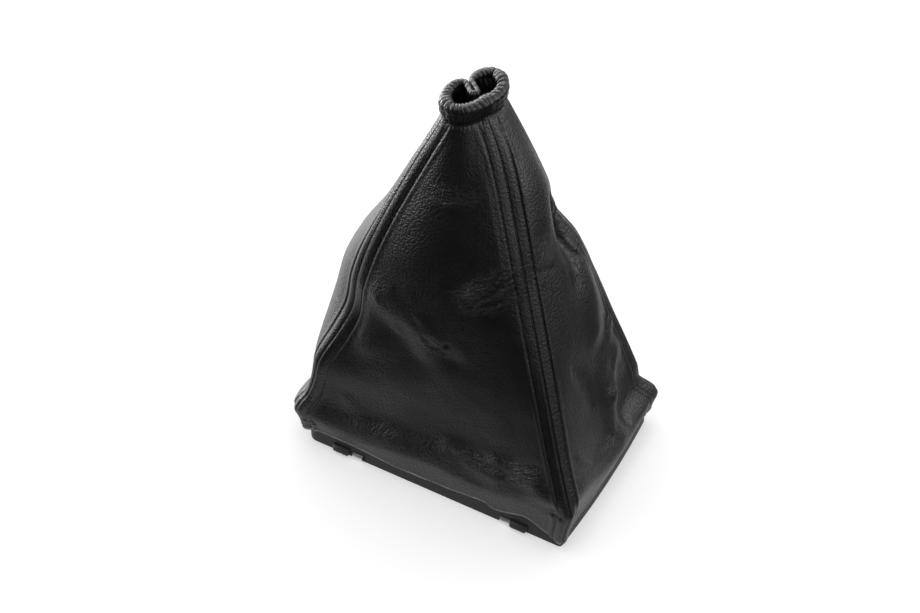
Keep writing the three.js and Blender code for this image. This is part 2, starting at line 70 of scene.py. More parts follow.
# ---------------------------------------------------------------------------------------------------------------
# Floor and light: a white studio table under an even white tent. Two lit cards low on the left, one behind and two
# small ones show only in the leather's gloss. The floor shows white and still takes the gaiter's shadow.
# ---------------------------------------------------------------------------------------------------------------
FLOOR_SIZE = 12.0
FLOOR_WHITE = "#e8e8e8"
FLOOR_GLOW = 0.36
LIT_CARDS = [
    # name, watts, size, turn from the front towards the right, rise
    ("Left_lit_card", 34.0, 1.3, 252, 16),
    ("Low_left_lit_card", 34.0, 0.8, 268, 9),
    ("Front_left_lit_card", 5.0, 0.6, 300, 8),
    ("Right_lit_card", 6.0, 0.6, 110, 20),
    ("Back_lit_card", 22.0, 1.2, 209, 46),
]
CARD_DISTANCE = 1.5
OVERHEAD_WATTS = 7.0
OVERHEAD_SIZE = 1.4
OVERHEAD_PLACE = (-0.25, 0.35, 1.75)
SKY_LEVEL = 0.8


def colour(text):
    """A colour written as sRGB hex, as a material wants it."""
    parts = [int(text[i:i + 2], 16) / 255 for i in (1, 3, 5)]
    return [x / 12.92 if x <= 0.04045 else ((x + 0.055) / 1.055) ** 2.4 for x in parts] + [1.0]


def new_material(name, node_type="ShaderNodeBsdfPrincipled"):
    """A material with its output and one shader, on which the rest is built."""
    material = bpy.data.materials.new(name)
    material.use_nodes = True
    tree = material.node_tree
    tree.nodes.clear()
    output = tree.nodes.new("ShaderNodeOutputMaterial")
    shader = tree.nodes.new(node_type)
    tree.links.new(shader.outputs[0], output.inputs["Surface"])
    return material, tree, shader


def add_node(tree, kind, inputs=None, **settings):
    """A node with its settings, and its inputs set to a value or linked to an output."""
    node = tree.nodes.new("ShaderNode" + kind)
    for name, value in settings.items():
        setattr(node, name, value)
    for name, value in (inputs or {}).items():
        if isinstance(value, bpy.types.NodeSocket):
            tree.links.new(value, node.inputs[name])
        else:
            node.inputs[name].default_value = value
    return node


bpy.ops.mesh.primitive_plane_add(size=FLOOR_SIZE, location=(0, 0, 0))
floor = bpy.context.object
floor.name = "Floor"
floor_material, tree, diffuse = new_material("White_table_top", "ShaderNodeBsdfDiffuse")
diffuse.inputs["Color"].default_value = colour(FLOOR_WHITE)
ray = add_node(tree, "LightPath")
seen = add_node(tree, "Math", {0: ray.outputs["Is Camera Ray"], 1: ray.outputs["Is Glossy Ray"]},
                operation="MAXIMUM")
level = add_node(tree, "Math", {0: seen.outputs[0], 1: FLOOR_GLOW}, operation="MULTIPLY")
glow = add_node(tree, "Emission", {"Strength": level.outputs[0]})
both = add_node(tree, "AddShader", {0: diffuse.outputs[0], 1: glow.outputs[0]})
tree.links.new(both.outputs[0], tree.nodes["Material Output"].inputs["Surface"])
floor.data.materials.append(floor_material)

# Painted dark reflections: a black sheet on the table in front, hung up behind the camera, and a piece of it on
# the table at the right, to keep black leather black. They show only in the gloss: the camera doesn't see them,
# they light nothing and cast no shadow. The front one paints the reflection of a dark room, the right one that of
# the shade the gaiter casts on the table to its right.
SHADE_SHEET_FRONT = (-1.15, 1.45, -1.3, -0.087)
SHADOW_SHEET_RIGHT = (0.106, 1.45, -0.087, 1.0)
SHADE_SHEET_HEIGHT = 2.0
SHADE_SHEET_LIFT = 0.002
PAINTED_SHADE_BLACK = "#050505"


def lay_shade_sheet(name, left, right, near, far):
    """A flat black sheet on the table between four lines, seen only in reflections: a painted dark reflection."""
    bpy.ops.object.select_all(action="DESELECT")
    bpy.ops.mesh.primitive_plane_add(size=1, location=(0, 0, 0))
    shade_sheet = bpy.context.object
    shade_sheet.name = name
    bpy.ops.object.mode_set(mode="EDIT")
    bpy.ops.transform.resize(value=(right - left, far - near, 1))
    bpy.ops.transform.translate(value=((left + right) / 2, (near + far) / 2, SHADE_SHEET_LIFT))
    bpy.ops.object.mode_set(mode="OBJECT")
    shade_sheet.data.materials.append(painted_shade_material)
    shade_sheet.visible_camera = shade_sheet.visible_diffuse = shade_sheet.visible_shadow = False
    return shade_sheet


# Painted shade: this black shows only in what the leather's gloss reflects.
painted_shade_material, tree, diffuse = new_material("Painted_shade_material_black", "ShaderNodeBsdfDiffuse")
diffuse.inputs["Color"].default_value = colour(PAINTED_SHADE_BLACK)
lay_shade_sheet("Painted_shadow_sheet_right", *SHADOW_SHEET_RIGHT)
front_shade_sheet = lay_shade_sheet("Painted_shade_sheet_front", *SHADE_SHEET_FRONT)
bpy.ops.object.select_all(action="DESELECT")
bpy.context.view_layer.objects.active = front_shade_sheet
front_shade_sheet.select_set(True)
bpy.ops.object.mode_set(mode="EDIT")
bpy.ops.mesh.select_mode(type="EDGE")
bpy.ops.mesh.select_all(action="DESELECT")
bpy.ops.object.mode_set(mode="OBJECT")
for edge in front_shade_sheet.data.edges:
    edge.select = all(front_shade_sheet.data.vertices[i].co.y < SHADE_SHEET_FRONT[2] / 2 for i in edge.vertices)
bpy.ops.object.mode_set(mode="EDIT")
bpy.ops.mesh.extrude_region_move(TRANSFORM_OT_translate={"value": (0, 0, SHADE_SHEET_HEIGHT)})
bpy.ops.object.mode_set(mode="OBJECT")

for card_name, watts, card_size, turn, rise in LIT_CARDS:
    turn, rise = math.radians(turn), math.radians(rise)
    way = Vector((math.sin(turn) * math.cos(rise), -math.cos(turn) * math.cos(rise), math.sin(rise)))
    bpy.ops.object.light_add(type="AREA", location=CAMERA_AIM + way * CARD_DISTANCE)
    lamp = bpy.context.object
    lamp.name = card_name
    lamp.rotation_euler = way.to_track_quat("Z", "Y").to_euler()
    lamp.data.size = card_size
    lamp.data.energy = watts
    lamp.visible_diffuse = False
bpy.ops.object.light_add(type="AREA", location=OVERHEAD_PLACE)
lamp = bpy.context.object
lamp.name = "Overhead_softbox"
lamp.rotation_euler = (lamp.location - CAMERA_AIM).to_track_quat("Z", "Y").to_euler()
lamp.data.size = OVERHEAD_SIZE
lamp.data.energy = OVERHEAD_WATTS
lamp.visible_glossy = False

world = bpy.data.worlds.new("Studio")
bpy.context.scene.world = world
world.use_nodes = True
sky_tree = world.node_tree
sky_tree.nodes.clear()
ray = add_node(sky_tree, "LightPath")
seen = add_node(sky_tree, "Math", {0: ray.outputs["Is Camera Ray"], 1: ray.outputs["Is Glossy Ray"]},
                operation="MAXIMUM")
seen = add_node(sky_tree, "Math", {0: seen.outputs[0], 1: ray.outputs["Is Transmission Ray"]}, operation="MAXIMUM")
shown = add_node(sky_tree, "MapRange", {"Value": seen.outputs[0], "To Min": SKY_LEVEL, "To Max": 1.0})
sky = add_node(sky_tree, "Background", {"Color": colour("#ffffff"), "Strength": shown.outputs[0]})
add_node(sky_tree, "OutputWorld", {"Surface": sky.outputs[0]})


# ---------------------------------------------------------------------------------------------------------------
# Frame: an injection-moulded ring of black polypropylene, an upright wall on an inward foot, with two rounded
# catches on its front and two on its back and a slot beside each. Its ends are bowed out a little.
# ---------------------------------------------------------------------------------------------------------------
MM = 0.001
FRAME_WIDTH = 150.0
FRAME_DEPTH = 98.0
FRAME_HEIGHT = 14.0
FRAME_WALL = 2.4
FRAME_CORNERS = {(-1, -1): 5.5, (1, -1): 1.6, (1, 1): 2.5, (-1, 1): 2.5}  # the radius of each upright corner
FRAME_EDGE = 0.45
FOOT_WIDTH = 8.0
FOOT_THICKNESS = 2.2
SIDE_BOW = 2.0
SIDE_BOW_CUTS = 15
CATCH_SIZE = (10.8, 2.7, 3.8)
CATCH_ROOT = 1.0
CATCH_FOOT = 1.5
CATCH_TOP_ROUND = 1.9
CATCH_FOOT_ROUND = 0.9
CATCH_EDGE = 0.8
CATCH_NARROWING = 0.16
CATCH_CENTRES = {"front_left": -53.4, "front_right": 51.2, "back_left": -52.4, "back_right": 52.4}
CLIP_WIDTH = 5.8
CLIP_CENTRE = 43.5
SLOT_PLAY = 0.4
SLOT_HEIGHT = 0.9
SLOT_MIDDLE = 4.65
CORNER_NAMES = {"front_left": (-1, -1), "front_right": (1, -1), "back_left": (-1, 1), "back_right": (1, 1)}
CLOSE = 0.1  # what lies this near a line or a level counts as on it
SAME_WAY = 0.9  # and a direction with this much of an axis as along it
PLASTIC_BLACK = "#0f0e0d"
PLASTIC_DUSTY = "#1d1b1a"
PLASTIC_RUBBED = "#3a3734"


def select_parts(piece, kind, test):
    """Selects, in edit mode, only the edges or faces whose middle (in millimetres) and way pass a test."""
    bpy.ops.object.mode_set(mode="EDIT")
    bpy.ops.mesh.select_mode(type=kind)
    bpy.ops.mesh.select_all(action="DESELECT")
    bpy.ops.object.mode_set(mode="OBJECT")
    points = [vertex.co / MM for vertex in piece.data.vertices]
    if kind == "EDGE":
        for edge in piece.data.edges:
            a, b = (points[i] for i in edge.vertices)
            edge.select = test((a + b) / 2, (b - a).normalized())
    else:
        for face in piece.data.polygons:
            face.select = test(face.center / MM, face.normal)
    bpy.ops.object.mode_set(mode="EDIT")


def new_cube(name, size, middle):
    """A cube of a size, in millimetres, about a place, with its own place kept in its mesh."""
    bpy.ops.object.select_all(action="DESELECT")
    bpy.ops.mesh.primitive_cube_add(size=MM, location=(0, 0, 0))
    piece = bpy.context.object
    piece.name = name
    bpy.ops.object.mode_set(mode="EDIT")
    bpy.ops.transform.resize(value=size)
    bpy.ops.transform.translate(value=Vector(middle) * MM)
    bpy.ops.object.mode_set(mode="OBJECT")
    return piece


def apply_modifier(piece, kind, **settings):
    """A modifier with its settings, applied."""
    bpy.context.view_layer.objects.active = piece
    bpy.ops.object.modifier_add(type=kind)
    modifier = piece.modifiers[-1]
    for name, value in settings.items():
        setattr(modifier, name, value)
    bpy.ops.object.modifier_apply(modifier=modifier.name)


def cut_or_join(piece, tool, operation):
    """Joins a closed piece to another or cuts it out, and removes it."""
    apply_modifier(piece, "BOOLEAN", object=tool, operation=operation, solver="MANIFOLD")
    bpy.data.objects.remove(tool)


bpy.ops.object.select_all(action="DESELECT")
bpy.ops.mesh.primitive_plane_add(size=MM, location=(0, 0, 0))
frame_ring = bpy.context.object
frame_ring.name = "base_frame_moulding"
bpy.ops.object.mode_set(mode="EDIT")
bpy.ops.transform.resize(value=(FRAME_WIDTH, FRAME_DEPTH, 1))
select_parts(frame_ring, "EDGE", lambda middle, way: abs(way.y) > SAME_WAY)
bpy.ops.mesh.subdivide(number_cuts=SIDE_BOW_CUTS)
bpy.ops.object.mode_set(mode="OBJECT")
for vertex in frame_ring.data.vertices:
    bow = SIDE_BOW * MM * (1 - (vertex.co.y / (FRAME_DEPTH / 2 * MM)) ** 2)
    vertex.co.x += math.copysign(bow, vertex.co.x)
select_parts(frame_ring, "FACE", lambda middle, way: True)
bpy.ops.mesh.inset(thickness=FRAME_WALL * MM, use_even_offset=True)
bpy.ops.mesh.inset(thickness=(FOOT_WIDTH - FRAME_WALL) * MM, use_even_offset=True)
bpy.ops.mesh.delete(type="FACE")
bpy.ops.mesh.select_all(action="SELECT")
bpy.ops.mesh.extrude_region_move(TRANSFORM_OT_translate={"value": (0, 0, FOOT_THICKNESS * MM)})


def under_wall(middle, way):
    """Whether a face of the foot lies flat under the frame's wall."""
    end = FRAME_WIDTH / 2 + SIDE_BOW * (1 - (2 * middle.y / FRAME_DEPTH) ** 2)
    depth = min(FRAME_DEPTH / 2 - abs(middle.y), end - abs(middle.x))
    return way.z > SAME_WAY and middle.z > FOOT_THICKNESS - CLOSE and depth < FRAME_WALL


bpy.ops.mesh.select_all(action="SELECT")
bpy.ops.mesh.normals_make_consistent(inside=False)
select_parts(frame_ring, "FACE", under_wall)
bpy.ops.mesh.extrude_region_move(TRANSFORM_OT_translate={"value": (0, 0, (FRAME_HEIGHT - FOOT_THICKNESS) * MM)})
for (side_x, side_y), radius in FRAME_CORNERS.items():
    select_parts(frame_ring, "EDGE", lambda middle, way: (
        abs(way.z) > SAME_WAY and abs(middle.x - side_x * FRAME_WIDTH / 2) < CLOSE
        and abs(middle.y - side_y * FRAME_DEPTH / 2) < CLOSE))
    bpy.ops.mesh.bevel(offset=radius * MM, segments=7)
bpy.ops.object.mode_set(mode="OBJECT")
apply_modifier(frame_ring, "BEVEL", width=FRAME_EDGE * MM, segments=3, limit_method="ANGLE",
               angle_limit=math.radians(50))

catch_width, catch_reach, catch_height = CATCH_SIZE
for corner, (side_x, side_y) in CORNER_NAMES.items():
    front = FRAME_DEPTH / 2
    outer = front + catch_reach
    depth = catch_reach + CATCH_ROOT
    tongue = new_cube("catch", (catch_width, depth, catch_height), (
        CATCH_CENTRES[corner], side_y * (outer - depth / 2), CATCH_FOOT + catch_height / 2))
    for level, radius, segments in ((CATCH_FOOT + catch_height, CATCH_TOP_ROUND, 6),
                                    (CATCH_FOOT, CATCH_FOOT_ROUND, 4)):
        select_parts(tongue, "EDGE", lambda middle, way: (
            abs(way.x) > SAME_WAY and abs(middle.y) > outer - CLOSE and abs(middle.z - level) < CLOSE))
        bpy.ops.mesh.bevel(offset=radius * MM, segments=segments)
    bpy.ops.object.mode_set(mode="OBJECT")
    for vertex in tongue.data.vertices:
        reach = abs(vertex.co.y) / MM - front
        along = (vertex.co.x / MM - CATCH_CENTRES[corner]) / (catch_width / 2)
        vertex.co.x -= math.copysign(CATCH_NARROWING * max(reach, 0) ** 2 * abs(along), along) * MM
    apply_modifier(tongue, "BEVEL", width=CATCH_EDGE * MM, segments=3, limit_method="ANGLE",
                   angle_limit=math.radians(45))
    cut_or_join(frame_ring, tongue, "UNION")
    slot = new_cube("slot", (CLIP_WIDTH + SLOT_PLAY, 3 * FRAME_WALL, SLOT_HEIGHT), (
        side_x * CLIP_CENTRE, side_y * front, SLOT_MIDDLE))
    cut_or_join(frame_ring, slot, "DIFFERENCE")

bpy.ops.object.select_all(action="DESELECT")
frame_ring.select_set(True)
bpy.context.view_layer.objects.active = frame_ring
bpy.ops.object.mode_set(mode="EDIT")
bpy.ops.mesh.select_all(action="SELECT")
bpy.ops.mesh.remove_doubles(threshold=0.002 * MM)
bpy.ops.object.mode_set(mode="OBJECT")
bpy.ops.object.shade_smooth_by_angle(angle=math.radians(38))

# Black polypropylene, injection moulded: a fine spark-eroded texture, a little dust, and pale rubbed edges.
SPARK = 0.35
DUST = 9.0
plastic, tree, shader = new_material("Moulded_polypropylene")
shader.inputs["IOR"].default_value = 1.42
spot = add_node(tree, "TexCoord")
texture = add_node(tree, "TexNoise", {"Vector": spot.outputs["Object"], "Scale": 1 / (SPARK * MM), "Detail": 2.0})
dust = add_node(tree, "TexNoise", {"Vector": spot.outputs["Object"], "Scale": 1 / (DUST * MM), "Detail": 6.0})
dusty = add_node(tree, "MapRange", {"Value": dust.outputs["Fac"], "From Min": 0.4, "From Max": 0.75})
shape = add_node(tree, "NewGeometry")
edges = add_node(tree, "MapRange", {"Value": shape.outputs["Pointiness"], "From Min": 0.52, "From Max": 0.6})
plain = add_node(tree, "MixRGB", {"Fac": dusty.outputs[0], "Color1": colour(PLASTIC_BLACK),
                                  "Color2": colour(PLASTIC_DUSTY)})
worn = add_node(tree, "MixRGB", {"Fac": edges.outputs[0], "Color1": plain.outputs[0],
                                 "Color2": colour(PLASTIC_RUBBED)})
tree.links.new(worn.outputs[0], shader.inputs["Base Color"])
plastic_gloss = add_node(tree, "MapRange", {"Value": dust.outputs["Fac"], "To Min": 0.5, "To Max": 0.7})
tree.links.new(plastic_gloss.outputs[0], shader.inputs["Roughness"])
bumps = add_node(tree, "Bump", {"Height": texture.outputs["Fac"], "Distance": 0.03 * MM, "Strength": 0.6})
tree.links.new(bumps.outputs[0], shader.inputs["Normal"])
frame_ring.data.materials.clear()
frame_ring.data.materials.append(plastic)
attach(frame_ring, "root")
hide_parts("base_frame")

# ---------------------------------------------------------------------------------------------------------------
# Clips: strips of spring steel bent over the lower edge of a slot, each with a bowed leaf outside that grips the
# edge of the opening. They are the solids themselves, with rolled and slightly scratched steel on them.
# ---------------------------------------------------------------------------------------------------------------
ROLLING = 0.25
STEEL_DULL = "#b9bbbd"
STEEL_BRIGHT = "#e3e4e6"
steel, tree, shader = new_material("Rolled_spring_steel")
shader.inputs["Metallic"].default_value = 1.0
spot = add_node(tree, "TexCoord")
stretch = add_node(tree, "Mapping", {"Vector": spot.outputs["Object"], "Scale": (0.08, 1, 1)})
scratches = add_node(tree, "TexNoise", {"Vector": stretch.outputs[0], "Scale": 1 / (ROLLING * MM), "Detail": 3.0})
steel_tone = add_node(tree, "MixRGB", {"Fac": scratches.outputs["Fac"], "Color1": colour(STEEL_DULL),
                                       "Color2": colour(STEEL_BRIGHT)})
tree.links.new(steel_tone.outputs[0], shader.inputs["Base Color"])
steel_gloss = add_node(tree, "MapRange", {"Value": scratches.outputs["Fac"], "To Min": 0.22, "To Max": 0.42})
tree.links.new(steel_gloss.outputs[0], shader.inputs["Roughness"])
ridges = add_node(tree, "Bump", {"Height": scratches.outputs["Fac"], "Distance": 0.01 * MM, "Strength": 0.5})
tree.links.new(ridges.outputs[0], shader.inputs["Normal"])
for corner in CORNER_NAMES:
    clip = bpy.data.objects[corner + "_clip"]
    clip.data.materials.clear()
    clip.data.materials.append(steel)

# ---------------------------------------------------------------------------------------------------------------
# Leather panels and their thread: four pieces of grained leather 0.8 mm thick, sewn together inside out along the
# corners. Each seam's allowances are folded back and held by a row of topstitching. The foot is glued round the
# frame and cut off there, and the top is turned in over an elastic, gathered and sewn down.
# ---------------------------------------------------------------------------------------------------------------
LEATHER = 0.8
FIT_GAP = 0.3
# The cut edge of each panel's foot: share across, and height above the table.
CUT_EDGES = {
    "front_panel": [(0, 10.8), (0.16, 11.1), (0.19, 11), (0.25, 10.5), (0.345, 9.3), (0.43, 9.5), (0.48, 9.2),
                    (0.52, 9.6), (0.563, 9.5), (0.65, 11.3), (0.706, 12.1), (0.735, 9.8), (0.778, 10.2),
                    (0.82, 12.3), (0.86, 13.6), (0.902, 11.3), (0.93, 9.2), (0.967, 6.9), (1, 6.6)],
    "right_panel": [(0, 6.6), (0.06, 7.4), (0.2, 9), (0.27, 8.2), (0.4, 9.6), (0.55, 9.1), (0.68, 10.4),
                    (0.8, 9.7), (1, 10.3)],
    "back_panel": [(0, 10.3), (0.12, 9.4), (0.3, 10.6), (0.42, 9.8), (0.6, 10.2), (0.77, 9.1), (0.9, 10.4),
                   (1, 10)],
    "left_panel": [(0, 10), (0.2, 10.7), (0.36, 9.3), (0.55, 10.1), (0.8, 9.5), (1, 10.8)],
}
CUT_SLANT = 2.0
STITCH_OFFSET = 5.5
SHOULDER_WIDTH = 6.5
GAITER_HEIGHT = 232.0
COLLAR_HEIGHT = 10.5
STITCH_HEIGHT = GAITER_HEIGHT - COLLAR_HEIGHT
COLLAR_MIDDLE = (-4.0, 2.5)
PINCHED_HALF_WIDTH = 1.35
ROLL_HALF_WIDTH = 3.1

# Corner seams, counter-clockwise from the front left: side, height of the bend over the frame, the seam's place
# on the collar, and how far the seam leaves the straight line up (share up, outwards, sideways).
SEAMS = [
    dict(side=(-1, -1), crease=20.0, collar=0, sway=[
        (0, 1.8, 0), (0.025, 5, 0), (0.075, 1.8, 0), (0.13, 2.3, 0), (0.21, 4.7, 0), (0.31, 1.2, 0), (0.39, 0, 0),
        (0.5, 5, 0), (0.6, 7, 0), (0.7, 6.6, 0), (0.8, 4.8, 0), (0.9, 2.4, 0), (1, 0, 0)]),
    dict(side=(1, -1), crease=25.6, collar=4, sway=[
        (0, 1, 3.3), (0.04, 1, 3.1), (0.15, 0, 2.7), (0.3, 0, 2.9), (0.5, 0.4, 2.9), (0.7, 1, 3), (0.9, 0.6, 2.6),
        (1, 0, 0)]),
    dict(side=(1, 1), crease=19.0, collar=8, sway=[
        (0, 2.5, 0), (0.018, 4.4, 0), (0.045, 0.5, 0), (0.07, -2, 0), (0.12, 0, 0), (0.3, 1, 0), (0.45, 2, 0),
        (0.56, 2, 0), (0.66, -3, 0), (0.75, 0, 0), (1, 0, 0)]),
    dict(side=(-1, 1), crease=20.0, collar=16, sway=[
        (0, 0, 0), (0.03, 4, 0), (0.1, 1, 0), (0.35, 3, 0), (0.6, 2, 0), (1, 0, 0)]),
]

# Middle of the collar's roll, seen from above: x, y and how full it is. The back left seam is at the tip of the
# pinch.
COLLAR_PATH = np.array([
    (-7.8, -12.8, 0.94), (-3.5, -14.8, 0.94), (1.2, -13.2, 0.94), (4.6, -9.2, 1), (7.4, -3.6, 1.05),
    (9.3, 1.6, 1.05), (9.9, 6.6, 1.05), (8.6, 11, 1), (5.4, 14.4, 0.94), (1, 15.9, 0.94), (-2.6, 13.4, 0.83),
    (-4.6, 9.4, 0.49), (-4.4, 5.2, 0.09), (-1.6, 2.5, 0), (1.3, -0.1, 0), (1.8, -1.3, 0), (1.35, -2.4, 0),
    (0.2, -2.9, 0), (-0.9, -2.4, 0), (-3.7, 0.1, 0.03), (-6.6, 2.4, 0.2), (-9.4, 0.8, 0.54), (-10.7, -3.7, 0.83),
    (-10, -8.9, 0.94)])

# The panels, each from one corner seam to the next. dip: how far the bend over the frame lies above the straight
# line between its corners. overhang: how far the leather stands out there. bulge: how far the middle stands out
# of the flat on the way up. shoulders: how far it stands out past its two seams. Folds are soft ridges, or
# hollows where the height is negative: from and to (share across, share up), width and height.
PANELS = [
    dict(name="front_panel", roundness=0.8, shoulders=(0.5, 3.6),
         dip=[(0, 0), (0.07, -3.8), (0.14, -5), (0.24, -4.2), (0.36, -1.5), (0.5, -0.3), (0.7, -1.9), (0.8, 0),
              (0.9, 3.1), (1, 0)],
         overhang=[(0, 0), (0.3, 0.6), (0.6, 0.4), (0.85, 2), (1, 0)],
         bulge=[(0, 0), (0.03, -3), (0.09, -5), (0.2, -3), (0.35, 2), (0.55, 7), (0.75, 6), (1, 0)],
         folds=[((0.1, 0.5), (0.14, 0.32), 7, 1.5), ((0.24, 0.5), (0.44, 0.38), 10, 1.6),
                ((0.27, 0.41), (0.38, 0.33), 9, -1.5), ((0.48, 0.375), (0.57, 0.36), 6, -1),
                ((0.72, 0.59), (0.9, 0.585), 4, 0.9), ((0.72, 0.56), (0.9, 0.55), 4, -0.6),
                ((0.28, 0.825), (0.72, 0.84), 3.5, -0.5), ((0.56, 0.07), (0.74, 0.05), 5, 1.3),
                ((0.74, 0.09), (0.9, 0.06), 5, 1.2), ((0.62, 0.02), (0.85, 0.03), 5, -0.8)]),
    dict(name="right_panel", roundness=0.8, shoulders=(3.6, 1.5),
         dip=[(0, 0), (0.15, -0.8), (0.4, -5), (0.7, -4), (0.9, -1.7), (1, 0)],
         overhang=[(0, 0), (0.3, 0.5), (0.6, 2), (0.85, 1.5), (1, 0)],
         bulge=[(0, 0), (0.03, -1), (0.1, -2), (0.25, 0), (0.45, 4), (0.62, 3), (0.75, 5), (0.85, 4), (1, 0)],
         folds=[((0.8, 0.72), (0.74, 0.6), 6, -3), ((0.74, 0.6), (0.62, 0.52), 6, -1.5),
                ((0.85, 0.5), (0.7, 0.36), 9, 2), ((0.84, 0.24), (0.68, 0.16), 6, 2),
                ((0.68, 0.16), (0.63, 0.06), 6, 2), ((0.84, 0.12), (0.8, 0.05), 8, -1.8)]),
    dict(name="back_panel", roundness=0.8, shoulders=(1.5, 1.2),
         dip=[(0, 0), (0.5, -2), (1, 0)],
         overhang=[(0, 0), (0.3, 2), (0.7, 2), (1, 0)],
         bulge=[(0, 0), (0.05, -2), (0.12, -3), (0.3, 3), (0.6, 8), (0.85, 5), (1, 0)],
         folds=[((0.3, 0.45), (0.45, 0.33), 9, 2), ((0.62, 0.4), (0.7, 0.28), 8, -1.8),
                ((0.35, 0.08), (0.6, 0.06), 6, 1.3)]),
    dict(name="left_panel", roundness=0.6, shoulders=(1.2, 1),
         dip=[(0, 0), (0.5, -2), (1, 0)],
         overhang=[(0, 0), (0.3, 3), (0.75, 6), (0.93, 6), (1, 0)],
         bulge=[(0, 0), (0.03, 1), (0.1, 5), (0.2, 12), (0.3, 17), (0.42, 20), (0.55, 16), (0.7, 7.5), (0.85, 3),
                (1, 0)],
         folds=[((0.35, 0.3), (0.6, 0.2), 9, -1.5), ((0.3, 0.14), (0.55, 0.1), 7, 1.5)]),
]


def smooth_step(value, low, high):
    """0 below the low value and 1 above the high one, with a smooth rise between."""
    share = np.clip((np.asarray(value, float) - low) / (high - low), 0.0, 1.0)
    return share * share * (3.0 - 2.0 * share)


def rising(value, start, low, high):
    """The start value below the low one, with a smooth rise to 1 at the high one."""
    return start + (1 - start) * smooth_step(value, low, high)


def smooth_line(points, place, column=1):
    """A smooth line through points (place, value, value ...), level beyond its ends."""
    points = np.array(points, float)
    at, value = points[:, 0], points[:, column]
    slope = np.empty_like(value)
    slope[1:-1] = (value[2:] - value[:-2]) / (at[2:] - at[:-2])
    slope[[0, -1]] = (value[[1, -1]] - value[[0, -2]]) / (at[[1, -1]] - at[[0, -2]])
    place = np.clip(place, at[0], at[-1])
    i = np.clip(np.searchsorted(at, place, side="right") - 1, 0, len(at) - 2)
    span = at[i + 1] - at[i]
    t = (place - at[i]) / span
    level = value[i] + (value[i + 1] - value[i]) * t * t * (3 - 2 * t)
    return level + span * t * (1 - t) * (slope[i] * (1 - t) - slope[i + 1] * t)


COLLAR = np.column_stack([
    COLLAR_PATH[:, 0] + COLLAR_MIDDLE[0],
    COLLAR_PATH[:, 1] + COLLAR_MIDDLE[1],
    PINCHED_HALF_WIDTH + (ROLL_HALF_WIDTH - PINCHED_HALF_WIDTH) * COLLAR_PATH[:, 2],
])


def collar_curve(place):
    """Points (x, y, half width) on the collar's closed middle line, at shares of the way round."""
    p = (np.asarray(place, float) % 1.0) * len(COLLAR)
    i = np.floor(p).astype(int)
    w = (p - i)[:, None]
    p0, p1, p2, p3 = (COLLAR[(i + k) % len(COLLAR)] for k in (-1, 0, 1, 2))
    d0, d1, d2 = (np.sqrt(np.linalg.norm(b - a, axis=1))[:, None] for a, b in ((p0, p1), (p1, p2), (p2, p3)))
    t1 = d1 * ((p1 - p0) / d0 - (p2 - p0) / (d0 + d1) + (p2 - p1) / d1)
    t2 = d1 * ((p2 - p1) / d1 - (p3 - p1) / (d1 + d2) + (p3 - p2) / d2)
    return p1 + t1 * w + (3 * (p2 - p1) - 2 * t1 - t2) * w ** 2 + (2 * (p1 - p2) + t1 + t2) * w ** 3


def collar_at(index, across):
    """The collar's middle line at shares across a panel: points, outward normals and half widths."""
    start = SEAMS[index]["collar"]
    end = SEAMS[(index + 1) % 4]["collar"] or len(COLLAR)
    place = (start + (end - start) * np.asarray(across, float)) / len(COLLAR)
    middle = collar_curve(place)
    ahead = collar_curve(place + 0.0001)[:, :2] - collar_curve(place - 0.0001)[:, :2]
    ahead /= np.linalg.norm(ahead, axis=1)[:, None]
    return middle[:, :2], np.column_stack([ahead[:, 1], -ahead[:, 0]]), middle[:, 2]


def seam_at(index, up):
    """A corner seam at one share of the height: its place on the straight line up, and how far it sways."""
    seam = SEAMS[index % 4]
    side = np.array(seam["side"], float)
    base = side * (np.array([FRAME_WIDTH, FRAME_DEPTH]) / 2 + FIT_GAP + LEATHER)
    middle, normal, _ = collar_at(index % 4, [0.0])
    top = middle[0] + normal[0] * (FIT_GAP / 2 + LEATHER)
    out = smooth_line(seam["sway"], up, 1) / math.sqrt(2)
    along = smooth_line(seam["sway"], up, 2) / math.sqrt(2)
    return base + (top - base) * up, np.array([side[0] * out - side[1] * along, side[1] * out + side[0] * along])


def foot_line(index, across):
    """The line of the leather's foot round the frame."""
    start, end = seam_at(index, 0)[0], seam_at(index + 1, 0)[0]
    line = start + (end - start) * across[:, None]
    bow = SIDE_BOW * 4 * across * (1 - across) if index % 2 else np.zeros_like(across)
    line[:, 0] += np.sign(np.round(start[0] + end[0])) * bow
    return line


FOLD_MARGIN = 10.0


def fold_height(folds, across, up, width):
    """How far folds lift the leather. They run out before the seams, within the margin."""
    height = STITCH_HEIGHT - FRAME_HEIGHT
    lift = np.zeros_like(across)
    for start, end, fold_width, fold_lift in folds:
        x, y = (start[0] - across) * width, (start[1] - up) * height
        run_x, run_y = (end[0] - start[0]) * width, (end[1] - start[1]) * height
        share = np.clip(-(x * run_x + y * run_y) / (run_x ** 2 + run_y ** 2), 0, 1)
        away = np.hypot(x + run_x * share, y + run_y * share) / fold_width
        lift += fold_lift * np.exp(-away * away)
    return lift * smooth_step(across * (1 - across) * width, 0, FOLD_MARGIN)


SHOULDER_FOOT = 0.03
SHOULDER_TOP = 0.8
OVERHANG_TOP = 0.08
SWAY_DECAY = 3


